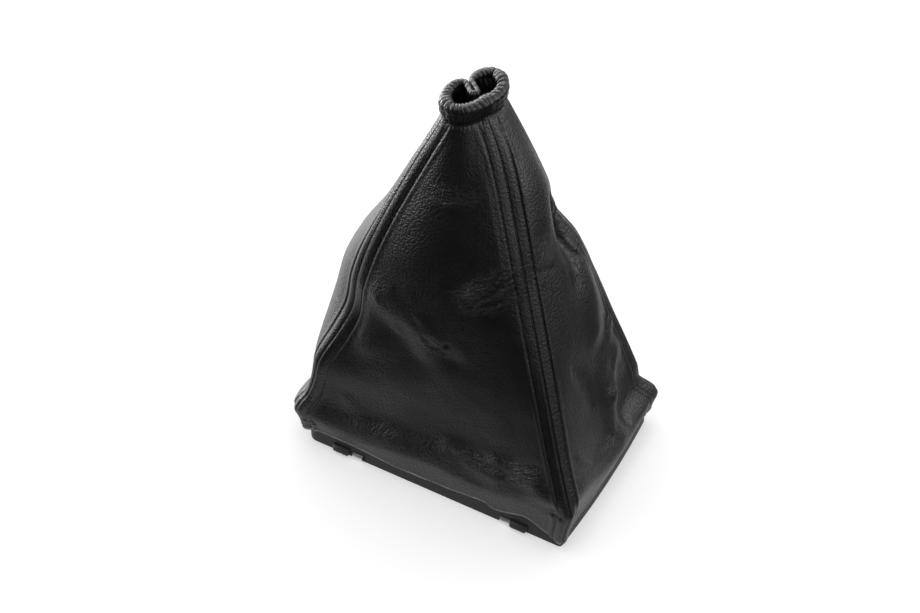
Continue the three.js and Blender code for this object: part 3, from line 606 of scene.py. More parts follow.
def wall_row(index, across, up):
    """The outside of a panel at one share of the height, from the bend over the frame to the collar's stitches."""
    panel = PANELS[index]
    (start, start_sway), (end, end_sway) = seam_at(index, up), seam_at(index + 1, up)
    middle, normal, _ = collar_at(index, across)
    top = middle + normal * (FIT_GAP / 2 + LEATHER)
    chord = end - start
    width = np.linalg.norm(chord)
    out = np.array([chord[1], -chord[0]]) / width
    near = np.minimum(across, 1 - across) * width
    shoulder = panel["shoulders"][0] + (panel["shoulders"][1] - panel["shoulders"][0]) * across
    shoulder = shoulder * smooth_step(near, 0, SHOULDER_WIDTH) * smooth_step(up, 0, SHOULDER_FOOT)
    bulge = (smooth_line(panel["bulge"], up) * (4 * across * (1 - across)) ** panel["roundness"]
             + smooth_line(panel["overhang"], across) * (1 - smooth_step(up, 0, OVERHANG_TOP))
             + shoulder * (1 - smooth_step(up, SHOULDER_TOP, 1))
             + fold_height(panel["folds"], across, up, width))
    foot = foot_line(index, across)
    line = foot + (top - foot) * up
    line += start_sway * ((1 - across) ** SWAY_DECAY)[:, None] + end_sway * (across ** SWAY_DECAY)[:, None]
    line += out * bulge[:, None]
    bend = SEAMS[index]["crease"] + (SEAMS[(index + 1) % 4]["crease"] - SEAMS[index]["crease"]) * across
    bend = bend + smooth_line(panel["dip"], across)
    return np.column_stack([line, bend + (STITCH_HEIGHT - bend) * up])


def hem_row(index, across, share):
    """The same below the bend, down to the cut edge on the frame's wall."""
    bend, foot = wall_row(index, across, 0.0), foot_line(index, across)
    line = foot + (bend[:, :2] - foot) * share ** 2
    cut = smooth_line(CUT_EDGES[PANELS[index]["name"]], across)
    return np.column_stack([line, cut + (bend[:, 2] - cut) * share])


def band_row(index, across, share):
    """The same from the collar's stitches up to its roll."""
    middle, normal, half = collar_at(index, across)
    inner = FIT_GAP / 2 + LEATHER
    lowest = math.radians(ROLL_TURNS[0])
    outer = half * (1 - ROLL_SLACK * (1 - math.cos(lowest)))
    reach = inner + (outer - inner) * math.sin(math.pi / 2 * min(1.0, share * BAND_FLARE))
    top = GAITER_HEIGHT - half * (1 - math.sin(lowest))
    return np.column_stack([middle + normal * reach[:, None], STITCH_HEIGHT + (top - STITCH_HEIGHT) * share])


def roll_row(index, across, degrees):
    """The same round the collar's roll, up the outside and down the inside."""
    middle, normal, half = collar_at(index, across)
    angle = math.radians(degrees)
    reach = half * (1 - ROLL_SLACK * (1 - math.cos(angle))) if degrees < 0 else half * math.cos(angle)
    line = middle + normal * reach[:, None]
    return np.column_stack([line, GAITER_HEIGHT - half * (1 - math.sin(angle))])


def flap_row(index, across, drop):
    """The same inside the collar, where the turned-in edge hangs down behind the stitches."""
    middle, normal, _ = collar_at(index, across)
    line = middle - normal * (FIT_GAP / 2 + LEATHER)
    return np.column_stack([line, np.full(len(across), STITCH_HEIGHT - drop)])


# Rows of vertices up a panel: shares up the hem, the bend, the wall, the neck and the band, turns round the roll
# in degrees, and drops of the turned-in flap.
HEM_SHARES = [0, 0.05, 0.12, 0.22, 0.32, 0.42, 0.52, 0.62, 0.71, 0.79, 0.86, 0.91, 0.96]
BEND_SHARES = [0, 0.0022, 0.0046, 0.0072, 0.01, 0.013, 0.0165, 0.021, 0.026, 0.032]
WALL_SHARES = list(np.linspace(0.039, 0.955, 138))
NECK_SHARES = [0.9625, 0.9695, 0.976, 0.9815, 0.986, 0.9895, 0.9925, 0.995, 0.9975, 1]
BAND_SHARES = [0.05, 0.11, 0.18, 0.26, 0.36, 0.48, 0.6, 0.72, 0.86]
BAND_FLARE = 1.5
ROLL_TURNS = list(np.linspace(-38, 212, 34))
ROLL_SLACK = 0.5
FLAP_DROPS = [-0.6, 0.0, 0.6, 1.6, 2.8, 4.0]
ROWS = [(kind, value) for kind, values in (
    ("hem", HEM_SHARES), ("wall", BEND_SHARES + WALL_SHARES + NECK_SHARES), ("band", BAND_SHARES),
    ("roll", ROLL_TURNS), ("flap", FLAP_DROPS)) for value in values]
ROW_KINDS = np.array([kind for kind, _ in ROWS])
ROW_UP = np.array([value if kind == "wall" else 0.0 if kind == "hem" else 1.0 for kind, value in ROWS])
ROW_MAKERS = {"hem": hem_row, "wall": wall_row, "band": band_row, "roll": roll_row, "flap": flap_row}

# Columns of vertices across a panel: distances from the seam of the folded-back allowance, turns in degrees of the
# fold round the seam, distances of the face's first columns, close together where the topstitching runs, and how
# many even columns lie between them. In the last rows of the hem and from the neck up, all of them are even.
ALLOWANCE = [6.6, 4.6, 2.8, 1.2]
FOLD_TURNS = [180, 152, 124, 98, 72, 46, 22]
SEAM_COLUMNS = [0, 0.5, 1.1, 1.8, 2.6, 3.4, 4.1, 4.65, 5.05, 5.3, 5.5, 5.7, 5.95, 6.3, 6.8, 7.4, 8.1, 9.0]
MIDDLE_COLUMNS = {"front_panel": 116, "right_panel": 84, "back_panel": 90, "left_panel": 70}
EVEN_FROM = 0.9
EVEN_AT = 0.99
FINE_STEPS = 240


def even_places(index, kind, value):
    """Shares across a panel, close together at its ends, with their distances along the leather."""
    across = (1 - np.cos(np.linspace(0, math.pi, FINE_STEPS))) / 2
    points = ROW_MAKERS[kind](index, across, value)
    along = np.concatenate([[0], np.cumsum(np.linalg.norm(np.diff(points, axis=0), axis=1))])
    return across, along


def face_grid(index):
    """The smooth face of a panel from seam to seam: points, and each one's distance and share from the seam."""
    count = MIDDLE_COLUMNS[PANELS[index]["name"]]
    near = np.array(SEAM_COLUMNS)
    points, distances, shares = [], [], []
    for kind, value in ROWS:
        across, along = even_places(index, kind, value)
        length = along[-1]
        wide = np.linspace(near[-1], length - near[-1], count + 2)[1:-1]
        set_out = np.concatenate([near, wide, length - near[::-1]])
        if kind in ("band", "roll", "flap") or value > EVEN_FROM:
            even = np.linspace(0, length, len(set_out))
            fade = float(smooth_step(value, EVEN_FROM, EVEN_AT)) if kind == "wall" else 1.0
            set_out = set_out + (even - set_out) * fade
        shares.append(np.interp(set_out, along, across))
        points.append(ROW_MAKERS[kind](index, shares[-1], value))
        distances.append(set_out)
    return np.array(points), np.array(distances), np.array(shares)


def unit(vectors):
    """Vectors brought to length 1."""
    return vectors / np.maximum(np.linalg.norm(vectors, axis=-1, keepdims=True), 1e-9)


def normals_of(points):
    """Outward normals of a grid of points, rows going up and columns going across."""
    return unit(np.cross(np.gradient(points, axis=1), np.gradient(points, axis=0)))


BEND_FIRST_ROW = 3
BEND_LAST_ROW = len(HEM_SHARES) + len(BEND_SHARES) + 2
BEND_SOFTENINGS = 14


def soften_bend(points):
    """The bend over the frame, rounded as thick leather bends: points near it move towards their neighbours."""
    first, last = BEND_FIRST_ROW, BEND_LAST_ROW
    for _ in range(BEND_SOFTENINGS):
        middle = points[first:last]
        points[first:last] = middle * 0.5 + (points[first - 1:last - 1] + points[first + 1:last + 1]) * 0.25
    return points


faces = []
for index in range(4):
    points, distances, shares = face_grid(index)
    faces.append((soften_bend(points), distances, shares))

# Row by row: the radius of the fold round a seam, which is halved in the neck, and how far the doubled leather
# pushes the face out. It does so most in the hem, and no longer at the collar.
FOLD_RADIUS = 1.0
NECK_FOLD_RADIUS = 0.5
FOLD_NARROWS = (0.86, 0.98)
HEM_PUSH = 0.75
WALL_PUSH = 0.4
WALL_PUSH_FROM = 0.02
PUSH_ENDS = (0.9, 1)
SEAM_GAP = 0.06
fold_radius = FOLD_RADIUS - (FOLD_RADIUS - NECK_FOLD_RADIUS) * smooth_step(ROW_UP, *FOLD_NARROWS)
above_bend = (ROW_KINDS != "hem") * smooth_step(ROW_UP, 0, WALL_PUSH_FROM)
double_push = (HEM_PUSH - (HEM_PUSH - WALL_PUSH) * above_bend) * (1 - smooth_step(ROW_UP, *PUSH_ENDS))

# How far into a panel its slope beside a seam is measured: less far in the neck.
SLOPE_REACH = 5.0
NECK_SLOPE_REACH = 1.5
SLOPE_NARROWS = (0.85, 1)


def side_frame(index, at_end):
    """Along one seam of a panel, row by row: the way into the panel, its outward normal and the seam's own way."""
    points, distances, _ = faces[index]
    reach = SLOPE_REACH - (SLOPE_REACH - NECK_SLOPE_REACH) * smooth_step(ROW_UP, *SLOPE_NARROWS)
    along = unit(np.gradient(points[:, -1 if at_end else 0], axis=0))
    into = []
    for row in range(len(points)):
        place = distances[row] if not at_end else distances[row][-1] - distances[row][::-1]
        line = points[row] if not at_end else points[row][::-1]
        into.append([np.interp(reach[row], place, line[:, axis]) for axis in range(3)] - line[0])
    into = np.array(into)
    into = unit(into - along * np.sum(into * along, axis=1)[:, None])
    outward = np.cross(along, into) if at_end else np.cross(into, along)
    return into, unit(outward), along


def seam_fold(index, at_end):
    """The fold of the leather round a seam: centres of its bend, and the frame in which it turns."""
    other = (index + 1) % 4 if at_end else (index + 3) % 4
    into, outward, along = side_frame(index, at_end)
    _, other_outward, _ = side_frame(other, not at_end)
    corner = faces[index][0][:, -1 if at_end else 0]
    middle = unit(outward + other_outward)
    aside = np.cross(along, middle)
    aside = aside * np.sign(np.sum(aside * into, axis=1))[:, None]
    return corner + unit(aside) * (fold_radius + SEAM_GAP / 2)[:, None], into, outward


# Where the collar's roll is drawn in between its gathers, in steps of COLLAR_PATH all the way round.
GATHERS = np.array([
    0.3, 0.85, 1.3, 1.6, 1.9, 2.3, 2.75, 3.25, 3.7, 4.35, 5, 5.55, 6.2, 6.9, 7.5, 8.2, 8.8, 9.4, 10, 10.6, 11.2,
    11.9, 12.6, 13.4, 14.2, 15.2, 16.8, 17.8, 18.8, 19.5, 20.1, 20.6, 21.1, 21.6, 22.1, 22.6, 23, 23.5])
GATHER_SHARE = 0.3
GATHER_SLANT = 0.45
GATHER_ROUNDNESS = 0.45
GATHER_LEAST = 0.6
GATHER_SPREAD = 0.8
BAND_GATHER = 0.38
OUTER_GATHER = 0.35
INNER_GATHER = 0.85
INNER_FROM_TURN = 120
PUCKER_SHARE = 0.35
PUCKER_FROM = 0.962
PUCKER_FULL = 0.999

# Creases that the leather has taken: points along each (share across, share up), half width in millimetres, and
# height (a hollow where it is negative).
CREASES = {
    "front_panel": [
        ([(0.14, 0.49), (0.22, 0.45), (0.28, 0.4)], 5.0, 0.5),
        ([(0.38, 0.475), (0.46, 0.44), (0.52, 0.4)], 4.4, 0.35),
        ([(0.24, 0.54), (0.32, 0.49), (0.38, 0.455)], 6.0, -0.5),
        ([(0.04, 0.49), (0.08, 0.4), (0.1, 0.34)], 4.6, 0.5),
        ([(0.42, 0.412), (0.5, 0.388), (0.56, 0.41)], 1.5, -0.75), ([(0.44, 0.388), (0.54, 0.372)], 1.4, -0.55),
        ([(0.46, 0.40), (0.55, 0.392)], 1.6, 0.5),
        ([(0.28, 0.825), (0.42, 0.815), (0.6, 0.83), (0.74, 0.835)], 1.6, -0.3),
        ([(0.3, 0.84), (0.45, 0.833), (0.62, 0.846)], 1.8, 0.25),
        ([(0.7, 0.582), (0.8, 0.605), (0.9, 0.627), (0.99, 0.648)], 1.4, 0.55),
        ([(0.72, 0.572), (0.82, 0.592), (0.95, 0.622)], 1.2, -0.4),
        ([(0.73, 0.562), (0.84, 0.583), (0.97, 0.612)], 1.3, 0.5),
        ([(0.76, 0.553), (0.86, 0.572), (0.96, 0.592)], 1.2, -0.4),
        ([(0.78, 0.542), (0.88, 0.56), (0.97, 0.58)], 1.3, 0.4), ([(0.82, 0.532), (0.95, 0.556)], 1.3, -0.3),
        ([(0.54, 0.085), (0.66, 0.075), (0.76, 0.095)], 2.6, 0.35),
        ([(0.56, 0.062), (0.7, 0.054), (0.8, 0.064)], 2.4, -0.3),
        ([(0.62, 0.05), (0.74, 0.045), (0.9, 0.055)], 2.6, 0.35),
        ([(0.76, 0.105), (0.86, 0.1), (0.94, 0.115)], 2.2, -0.25),
        ([(0.12, 0.12), (0.24, 0.05), (0.4, 0.03)], 5.5, 0.35)],
    "right_panel": [
        ([(0.97, 0.69), (0.84, 0.665), (0.8, 0.6), (0.82, 0.56)], 3.0, 1.2),
        ([(0.93, 0.66), (0.76, 0.62), (0.7, 0.54)], 4.5, -1.4),
        ([(0.9, 0.312), (0.7, 0.25), (0.62, 0.2), (0.6, 0.14), (0.58, 0.075)], 6.0, 1.2),
        ([(0.8, 0.2), (0.74, 0.12), (0.72, 0.04)], 7.0, -1.4),
        ([(0.12, 0.64), (0.24, 0.638), (0.4, 0.62)], 1.6, 0.4),
        ([(0.1, 0.622), (0.26, 0.616), (0.38, 0.6)], 1.6, -0.4),
        ([(0.3, 0.34), (0.42, 0.26), (0.46, 0.18)], 5.0, -0.9),
        ([(0.16, 0.12), (0.3, 0.06), (0.5, 0.05)], 3.0, 0.6)],
    "back_panel": [
        ([(0.3, 0.5), (0.42, 0.42), (0.5, 0.4)], 3.0, 0.9), ([(0.32, 0.46), (0.44, 0.385)], 2.4, -0.8),
        ([(0.6, 0.7), (0.75, 0.66)], 1.7, -0.5), ([(0.25, 0.08), (0.45, 0.06), (0.6, 0.07)], 2.0, 0.6),
        ([(0.62, 0.28), (0.7, 0.16)], 4.0, -0.9)],
    "left_panel": [
        ([(0.3, 0.46), (0.45, 0.4), (0.6, 0.42)], 2.6, 0.8), ([(0.32, 0.43), (0.48, 0.375)], 2.0, -0.7),
        ([(0.3, 0.75), (0.6, 0.77)], 1.8, -0.5), ([(0.5, 0.2), (0.66, 0.1)], 3.6, -0.9)],
}

# Patches of fine crinkles: share across and up of the middle, half length and half height in millimetres, the way
# they run in degrees, and strength.
CRINKLES = {
    "front_panel": [(0.88, 0.6, 19, 8, 20, 1.0), (0.5, 0.395, 10, 5, -8, 0.5), (0.52, 0.832, 15, 4.5, 3, 0.2),
                    (0.66, 0.072, 17, 6, 6, 0.07), (0.86, 0.08, 13, 8, 12, 0.07)],
    "right_panel": [(0.1, 0.645, 12, 7, 12, 0.7), (0.8, 0.55, 9, 12, 60, 0.1), (0.25, 0.1, 14, 8, 10, 0.12)],
    "back_panel": [(0.4, 0.44, 14, 8, -20, 0.4), (0.7, 0.68, 12, 5, 8, 0.3), (0.45, 0.07, 18, 6, 0, 0.15)],
    "left_panel": [(0.45, 0.42, 12, 7, -15, 0.4), (0.45, 0.76, 9, 4, 5, 0.3)],
}
CREASE_TIP = 0.35
CREASES_END = (0.92, 0.98)
CRINKLE_LENGTH = 6.0
CRINKLE_WIDTH = 1.25
CRINKLE_EDGE = 1.3

# Relief beside a seam: distance from the seam, height and half width of the groove that the topstitching draws in,
# of the swell over the seam's allowance, and of the allowance's own edge beyond the stitches.
SEAM_RELIEF = [(STITCH_OFFSET, -0.55, 0.42), (2.7, 0.3, 1.6), (7.2, 0.16, 1.1)]
SEAM_RELIEF_ENDS = (0.97, 1)
# The groove under the collar: share up, height and half width. The slack in the leather: size and height of waves.
COLLAR_GROOVE = (0.9925, -0.55, 0.8)
WAVES = [(26.0, 0.42), (8.0, 0.1)]
WAVES_END = (0.9, 1)
# What is left of these beside a seam, and the distances from it between which they come back in full.
CALM_WAVES = (0.35, 4, 14)
CALM_CREASES = (0.3, 1, 6)
CALM_GATHERS = (0.2, 0.2, 2.2)


def gather_strength(kind, value):
    """How strongly a row is gathered: most in the mouth, less outside on the roll, little below the stitches."""
    if kind == "hem":
        return 0.0
    if kind == "wall":
        return PUCKER_SHARE * smooth_step(value, PUCKER_FROM, PUCKER_FULL)
    if kind == "roll":
        return OUTER_GATHER + INNER_GATHER * smooth_step(value, 0, INNER_FROM_TURN)
    return BAND_GATHER


def gathering(index, shares):
    """How far the leather of the collar is drawn in between its gathers, which slant a little round the roll."""
    start = SEAMS[index]["collar"]
    end = SEAMS[(index + 1) % 4]["collar"] or len(COLLAR)
    turns = np.array([
        value if kind == "roll" else ROLL_TURNS[-1] if kind == "flap" else ROLL_TURNS[0] for kind, value in ROWS])
    place = (start + (end - start) * shares + GATHER_SLANT * (turns[:, None] - 90) / 180) % len(COLLAR)
    ring = np.concatenate([[GATHERS[-1] - len(COLLAR)], GATHERS, [GATHERS[0] + len(COLLAR)]])
    gap = np.clip(np.searchsorted(ring, place, side="right") - 1, 0, len(ring) - 2)
    share = (place - ring[gap]) / (ring[gap + 1] - ring[gap])
    uneven = GATHER_LEAST + GATHER_SPREAD * ((gap * 7) % 5) / 5
    sunk = ((4 * share * (1 - share)) ** GATHER_ROUNDNESS - 1) * uneven
    halves = np.array([collar_at(index, row)[2] for row in shares])
    strength = np.array([gather_strength(kind, value) for kind, value in ROWS])
    return sunk * GATHER_SHARE * halves * strength[:, None]


def crease_lift(index, distances, shares):
    """How far creases lift or sink the leather. Each narrows at its ends, and none reaches the collar."""
    length, height = distances[:, -1:], STITCH_HEIGHT - FRAME_HEIGHT
    x, y = shares * length, ROW_UP[:, None] * height * np.ones_like(shares)
    lift = np.zeros_like(x)
    for line, half_width, tall in CREASES[PANELS[index]["name"]]:
        best = np.full_like(x, 1e9)
        for k, ((across_a, up_a), (across_b, up_b)) in enumerate(zip(line[:-1], line[1:])):
            ax, ay, bx, by = across_a * length, up_a * height, across_b * length, up_b * height
            run = (bx - ax) ** 2 + (by - ay) ** 2
            along = np.clip(((x - ax) * (bx - ax) + (y - ay) * (by - ay)) / run, 0, 1)
            past = (k + along) / (len(line) - 1)
            narrow = half_width * (CREASE_TIP + (1 - CREASE_TIP) * np.sqrt(np.clip(4 * past * (1 - past), 0, 1)))
            best = np.minimum(best, np.hypot(x - ax - (bx - ax) * along, y - ay - (by - ay) * along) / narrow)
        lift += tall * np.exp(-best ** 2)
    return lift * (1 - smooth_step(ROW_UP, *CREASES_END))[:, None]


def crinkles(index, distances, shares):
    """Places along and across the nearest patch of crinkles, and how strong it is there."""
    length, height = distances[:, -1:], STITCH_HEIGHT - FRAME_HEIGHT
    on_wall = (ROW_KINDS == "wall")[:, None]
    fields = [np.zeros_like(shares) for _ in range(3)]
    for across, up, half_length, half_height, turn, strength in CRINKLES[PANELS[index]["name"]]:
        x, y = (shares - across) * length, (ROW_UP[:, None] - up) * height
        turn = math.radians(turn)
        along, aside = x * math.cos(turn) + y * math.sin(turn), y * math.cos(turn) - x * math.sin(turn)
        outward = (along / half_length) ** 2 + (aside / half_height) ** 2
        here = strength * np.exp(-outward ** CRINKLE_EDGE) * on_wall
        nearer = here > fields[2]
        for field, value in zip(fields, (along / CRINKLE_LENGTH, aside / CRINKLE_WIDTH, here)):
            field[nearer] = value[nearer]
    return fields


BAND_RUBBED = 0.3
ROLL_RUBBED_TURNS = (-30, 40)
SEAM_RUBBED = 0.35
SEAM_RUBBED_WIDTH = (2, 6)
BEND_RUBBED = 0.3
BEND_RUBBED_TO = 0.05
PINCH_FULLNESS = (0.5, 0.85)


def rubbing(distances, length):
    """Where hands and the opening's edge have rubbed the leather smooth, from 0 to 1: most on top of the roll, and
    about a third at the seams, along the bend over the frame and on the band."""
    near = np.minimum(distances, length - distances)
    rubbed = np.zeros_like(distances)
    for row, (kind, value) in enumerate(ROWS):
        if kind == "roll":
            rubbed[row] = rising(value, BAND_RUBBED, *ROLL_RUBBED_TURNS)
        elif kind == "band":
            rubbed[row] = BAND_RUBBED
        elif kind == "wall":
            rubbed[row] = (SEAM_RUBBED * (1 - smooth_step(near[row], *SEAM_RUBBED_WIDTH))
                           + BEND_RUBBED * (1 - smooth_step(value, 0, BEND_RUBBED_TO)))
    return rubbed


SEAM_STITCHES_FROM = 0.1
SEAM_STITCHES_TO = 0.985
COLLAR_STITCHES = 0.991


def stitch_lines(face, normals, distances, length):
    """Lines of points and normals for the stitches: beside each seam, and under the collar's roll."""
    rows = [row for row, (kind, value) in enumerate(ROWS)
            if kind == "wall" and value < SEAM_STITCHES_TO or kind == "hem" and value > SEAM_STITCHES_FROM]
    lines = []
    for at_end in (False, True):
        line, normal = [], []
        for row in rows:
            offset = length[row, 0] - STITCH_OFFSET if at_end else STITCH_OFFSET
            line.append([np.interp(offset, distances[row], face[row, :, axis]) for axis in range(3)])
            normal.append([np.interp(offset, distances[row], normals[row, :, axis]) for axis in range(3)])
        lines.append((np.array(line), unit(np.array(normal))))
    under = next(row for row, (kind, value) in enumerate(ROWS) if kind == "wall" and value > COLLAR_STITCHES)
    lines.append((face[under], normals[under]))
    return lines


def relief(index, points, distances, shares):
    """What the hand feels on the leather: the rows of topstitching, the allowances, slack, creases and gathers.
    The slack and the creases are calmer beside the seams, and the gathers stop short of them."""
    near = np.minimum(distances, distances[:, -1:] - distances)
    up = ROW_UP[:, None]
    by_seam = sum(height * np.exp(-((near - away) / half) ** 2) for away, height, half in SEAM_RELIEF)
    waves = np.array([[sum(height * noise.fractal(Vector(point) / size, 0.6, 2.0, 1) for size, height in WAVES)
                       for point in line] for line in points])
    groove_at, groove_depth, groove_half = COLLAR_GROOVE
    from_groove = (up - groove_at) * (STITCH_HEIGHT - FRAME_HEIGHT)
    groove = (ROW_KINDS == "wall")[:, None] * groove_depth * np.exp(-(from_groove / groove_half) ** 2)
    return (by_seam * (1 - smooth_step(up, *SEAM_RELIEF_ENDS))
            + waves * rising(near, *CALM_WAVES) * (1 - smooth_step(up, *WAVES_END))
            + crease_lift(index, distances, shares) * rising(near, *CALM_CREASES)
            + (groove + gathering(index, shares)) * rising(near, *CALM_GATHERS))


# What the seam does to the face beside it, in millimetres: the face is drawn to the fold up to SEAM_REACH away,
# and the allowance under it pushes it out as far as its own edge, but less in a row as short as SHORT_ROW.
SEAM_REACH = 5.0
ALLOWANCE_EDGE = (6.3, 8.6)
SHORT_ROW = (12, 30)
NECK_ALLOWANCE = 0.1
NECK_FOLD_TURN = 110
ALLOWANCE_NARROWS = (0.84, 0.95)
TURN_NARROWS = (0.88, 0.98)
ALLOWANCE_FOLLOWS = 2.5
OWN_STEP = 0.3


def turned_leather(fold, at_end, face, flat_face, normals, distances):
    """The leather past the face's edge at one seam: the allowance, folded back under the face, then the fold. In
    the neck the allowance is narrow, and the fold turns no further than it has room for."""
    centre, into, outward = fold
    in_neck = smooth_step(ROW_UP, *ALLOWANCE_NARROWS)
    shrink = 1 - (1 - NECK_ALLOWANCE) * in_neck
    most_turn = 180 - (180 - NECK_FOLD_TURN) * smooth_step(ROW_UP, *TURN_NARROWS)
    radius = fold_radius[:, None]
    edge_gap = face[:, -1 if at_end else 0] - (centre + radius * outward)
    columns, places = [], []
    for turn in FOLD_TURNS:
        angle = np.radians(turn * most_turn / 180)
        ring = centre + radius * (outward * np.cos(angle)[:, None] - into * np.sin(angle)[:, None])
        columns.append(ring + edge_gap * (1 - turn / 180))
        places.append(-fold_radius * angle)
    under, under_places = [], []
    for reach in ALLOWANCE:
        line = []
        for row, flat_row, normal_row, place in zip(range(len(face)), flat_face, normals, distances):
            if at_end:
                flat_row, normal_row, place = flat_row[::-1], normal_row[::-1], place[-1] - place[::-1]
            at = reach * shrink[row]
            above = np.array([np.interp(at, place, flat_row[:, axis]) for axis in range(3)])
            way = np.array([np.interp(at, place, normal_row[:, axis]) for axis in range(3)])
            line.append(above - way / np.linalg.norm(way) * 2 * fold_radius[row])
        follow = smooth_step(reach, 0, ALLOWANCE_FOLLOWS) * (1 - in_neck)
        straight = columns[0] + into * (reach * shrink)[:, None]
        under.append(straight + (np.array(line) - straight) * follow[:, None])
        under_places.append(places[0] - reach * shrink)
    return np.stack(under + columns, axis=1), np.stack(under_places + places, axis=1)


def panel_grid(index):
    """A whole panel as rows of points: allowance, fold, face, fold, allowance. With it come each point's distance
    across and up the leather, its crinkles and rubbing, and the lines of its stitches."""
    points, distances, shares = faces[index]
    length = distances[:, -1:]
    normals = normals_of(points)
    shifted = points.copy()
    folds = [seam_fold(index, at_end) for at_end in (False, True)]
    for at_end, (centre, into, outward) in zip((False, True), folds):
        away = length - distances if at_end else distances
        lift = centre + outward * fold_radius[:, None] - points[:, -1 if at_end else 0]
        push = outward * double_push[:, None] * smooth_step(length, *SHORT_ROW)
        shifted += (lift - push)[:, None, :] * (1 - smooth_step(away, 0, SEAM_REACH))[..., None]
        shifted += push[:, None, :] * (1 - smooth_step(away, *ALLOWANCE_EDGE))[..., None]
    lifted = shifted + relief(index, points, distances, shares)[..., None] * normals
    lifted_normals = normals_of(lifted)
    (first, first_places), (last, last_places) = (
        turned_leather(fold, at_end, lifted, shifted, lifted_normals, distances)
        for at_end, fold in zip((False, True), folds))
    whole = np.concatenate([first, lifted, last[:, ::-1]], axis=1)
    across = np.concatenate([first_places, distances, length - last_places[:, ::-1]], axis=1) - length / 2
    step = np.linalg.norm(np.diff(whole, axis=0), axis=2)
    step = step * OWN_STEP + np.median(step, axis=1)[:, None] * (1 - OWN_STEP)
    up = np.concatenate([np.zeros((1, whole.shape[1])), np.cumsum(step, axis=0)])
    turned = len(ALLOWANCE) + len(FOLD_TURNS)
    border = ((0, 0), (turned, turned))
    crinkle = np.stack([np.pad(layer, border) for layer in crinkles(index, distances, shares)], axis=2)
    fullness = np.array([collar_at(index, row)[2] for row in shares]) / ROLL_HALF_WIDTH
    rubbed = np.pad(rubbing(distances, length) * smooth_step(fullness, *PINCH_FULLNESS), border, mode="edge")
    return whole, across, up, crinkle, rubbed, stitch_lines(lifted, lifted_normals, distances, length)


# Black pebble-grained cowhide, dyed through and finished with a thin matt coat. The grain is pressed in: round
# pebbles about 1.4 mm across with narrow valleys between, and fine pores on them. The coat is a little smoother
# on the pebbles, so the leather glints in small points where the light catches it.
PEBBLE = 1.4
PEBBLE_HEIGHT = 0.16
PORE = 0.35
PORE_DEPTH = 0.03
CLOUD = 22.0
CRINKLE_DEPTH = 1.1
LEATHER_BLACK = "#0b0a0b"
LEATHER_WARM = "#141213"
leather, tree, shader = new_material("Black_grained_leather")
shader.inputs["Specular IOR Level"].default_value = 0.5
skin_place = add_node(tree, "UVMap", uv_map="UVMap")
wander = add_node(tree, "TexNoise", {"Vector": skin_place.outputs["UV"], "Scale": 1 / (2.2 * PEBBLE * MM),
                                     "Detail": 2.0}, noise_dimensions="2D")
strayed = add_node(tree, "VectorMath", {0: wander.outputs["Color"], 1: (0.5, 0.5, 0.5)}, operation="SUBTRACT")
nudge = add_node(tree, "VectorMath", {0: strayed.outputs[0], "Scale": 1.1 * PEBBLE * MM}, operation="SCALE")
grain_place = add_node(tree, "VectorMath", {0: skin_place.outputs["UV"], 1: nudge.outputs[0]}, operation="ADD")
pebbles = add_node(tree, "TexVoronoi", {"Vector": grain_place.outputs[0], "Scale": 1 / (PEBBLE * MM)},
                   voronoi_dimensions="2D", feature="SMOOTH_F1")
pebbles.inputs["Smoothness"].default_value = 0.35
dome = add_node(tree, "MapRange", {"Value": pebbles.outputs["Distance"], "From Min": 0.1, "From Max": 0.75,
                                   "To Min": 1.0, "To Max": 0.0}, interpolation_type="SMOOTHERSTEP")
pores = add_node(tree, "TexNoise", {"Vector": skin_place.outputs["UV"], "Scale": 1 / (PORE * MM), "Detail": 1.0},
                 noise_dimensions="2D")
spot = add_node(tree, "TexCoord")
clouds = add_node(tree, "TexNoise", {"Vector": spot.outputs["Object"], "Scale": 1 / (CLOUD * MM), "Detail": 3.0})
pressed = add_node(tree, "MapRange", {"Value": clouds.outputs["Fac"], "From Min": 0.35, "From Max": 0.65,
                                      "To Min": 0.55, "To Max": 1.0})
deep = add_node(tree, "Math", {0: dome.outputs[0], 1: pressed.outputs[0]}, operation="MULTIPLY")
grain = add_node(tree, "Bump", {"Height": deep.outputs[0], "Distance": PEBBLE_HEIGHT * MM, "Strength": 0.8})
skin = add_node(tree, "Bump", {"Height": pores.outputs["Fac"], "Distance": PORE_DEPTH * MM, "Strength": 0.6,
                               "Normal": grain.outputs[0]})
patch = add_node(tree, "Attribute", attribute_name="crinkle")
patch_parts = add_node(tree, "SeparateXYZ", {0: patch.outputs["Vector"]})
wrinkles = add_node(tree, "TexNoise", {"Vector": patch.outputs["Vector"], "Scale": 1.0, "Detail": 2.0,
                                       "Distortion": 0.7}, noise_dimensions="2D")
halfway = add_node(tree, "Math", {0: wrinkles.outputs["Fac"], 1: 0.5}, operation="SUBTRACT")
off_ridge = add_node(tree, "Math", {0: halfway.outputs[0]}, operation="ABSOLUTE")
ridge = add_node(tree, "MapRange", {"Value": off_ridge.outputs[0], "From Min": 0.0, "From Max": 0.1,
                                    "To Min": 1.0, "To Max": 0.0}, interpolation_type="SMOOTHERSTEP")
crinkled = add_node(tree, "Math", {0: ridge.outputs[0], 1: patch_parts.outputs["Z"]}, operation="MULTIPLY")
creased = add_node(tree, "Bump", {"Height": crinkled.outputs[0], "Distance": CRINKLE_DEPTH * MM, "Strength": 1.0,
                                  "Normal": skin.outputs[0]})
tree.links.new(creased.outputs[0], shader.inputs["Normal"])
tone = add_node(tree, "MapRange", {"Value": clouds.outputs["Fac"], "From Min": 0.3, "From Max": 0.7})
dye = add_node(tree, "MixRGB", {"Fac": tone.outputs[0], "Color1": colour(LEATHER_BLACK),
                                "Color2": colour(LEATHER_WARM)})
tree.links.new(dye.outputs[0], shader.inputs["Base Color"])
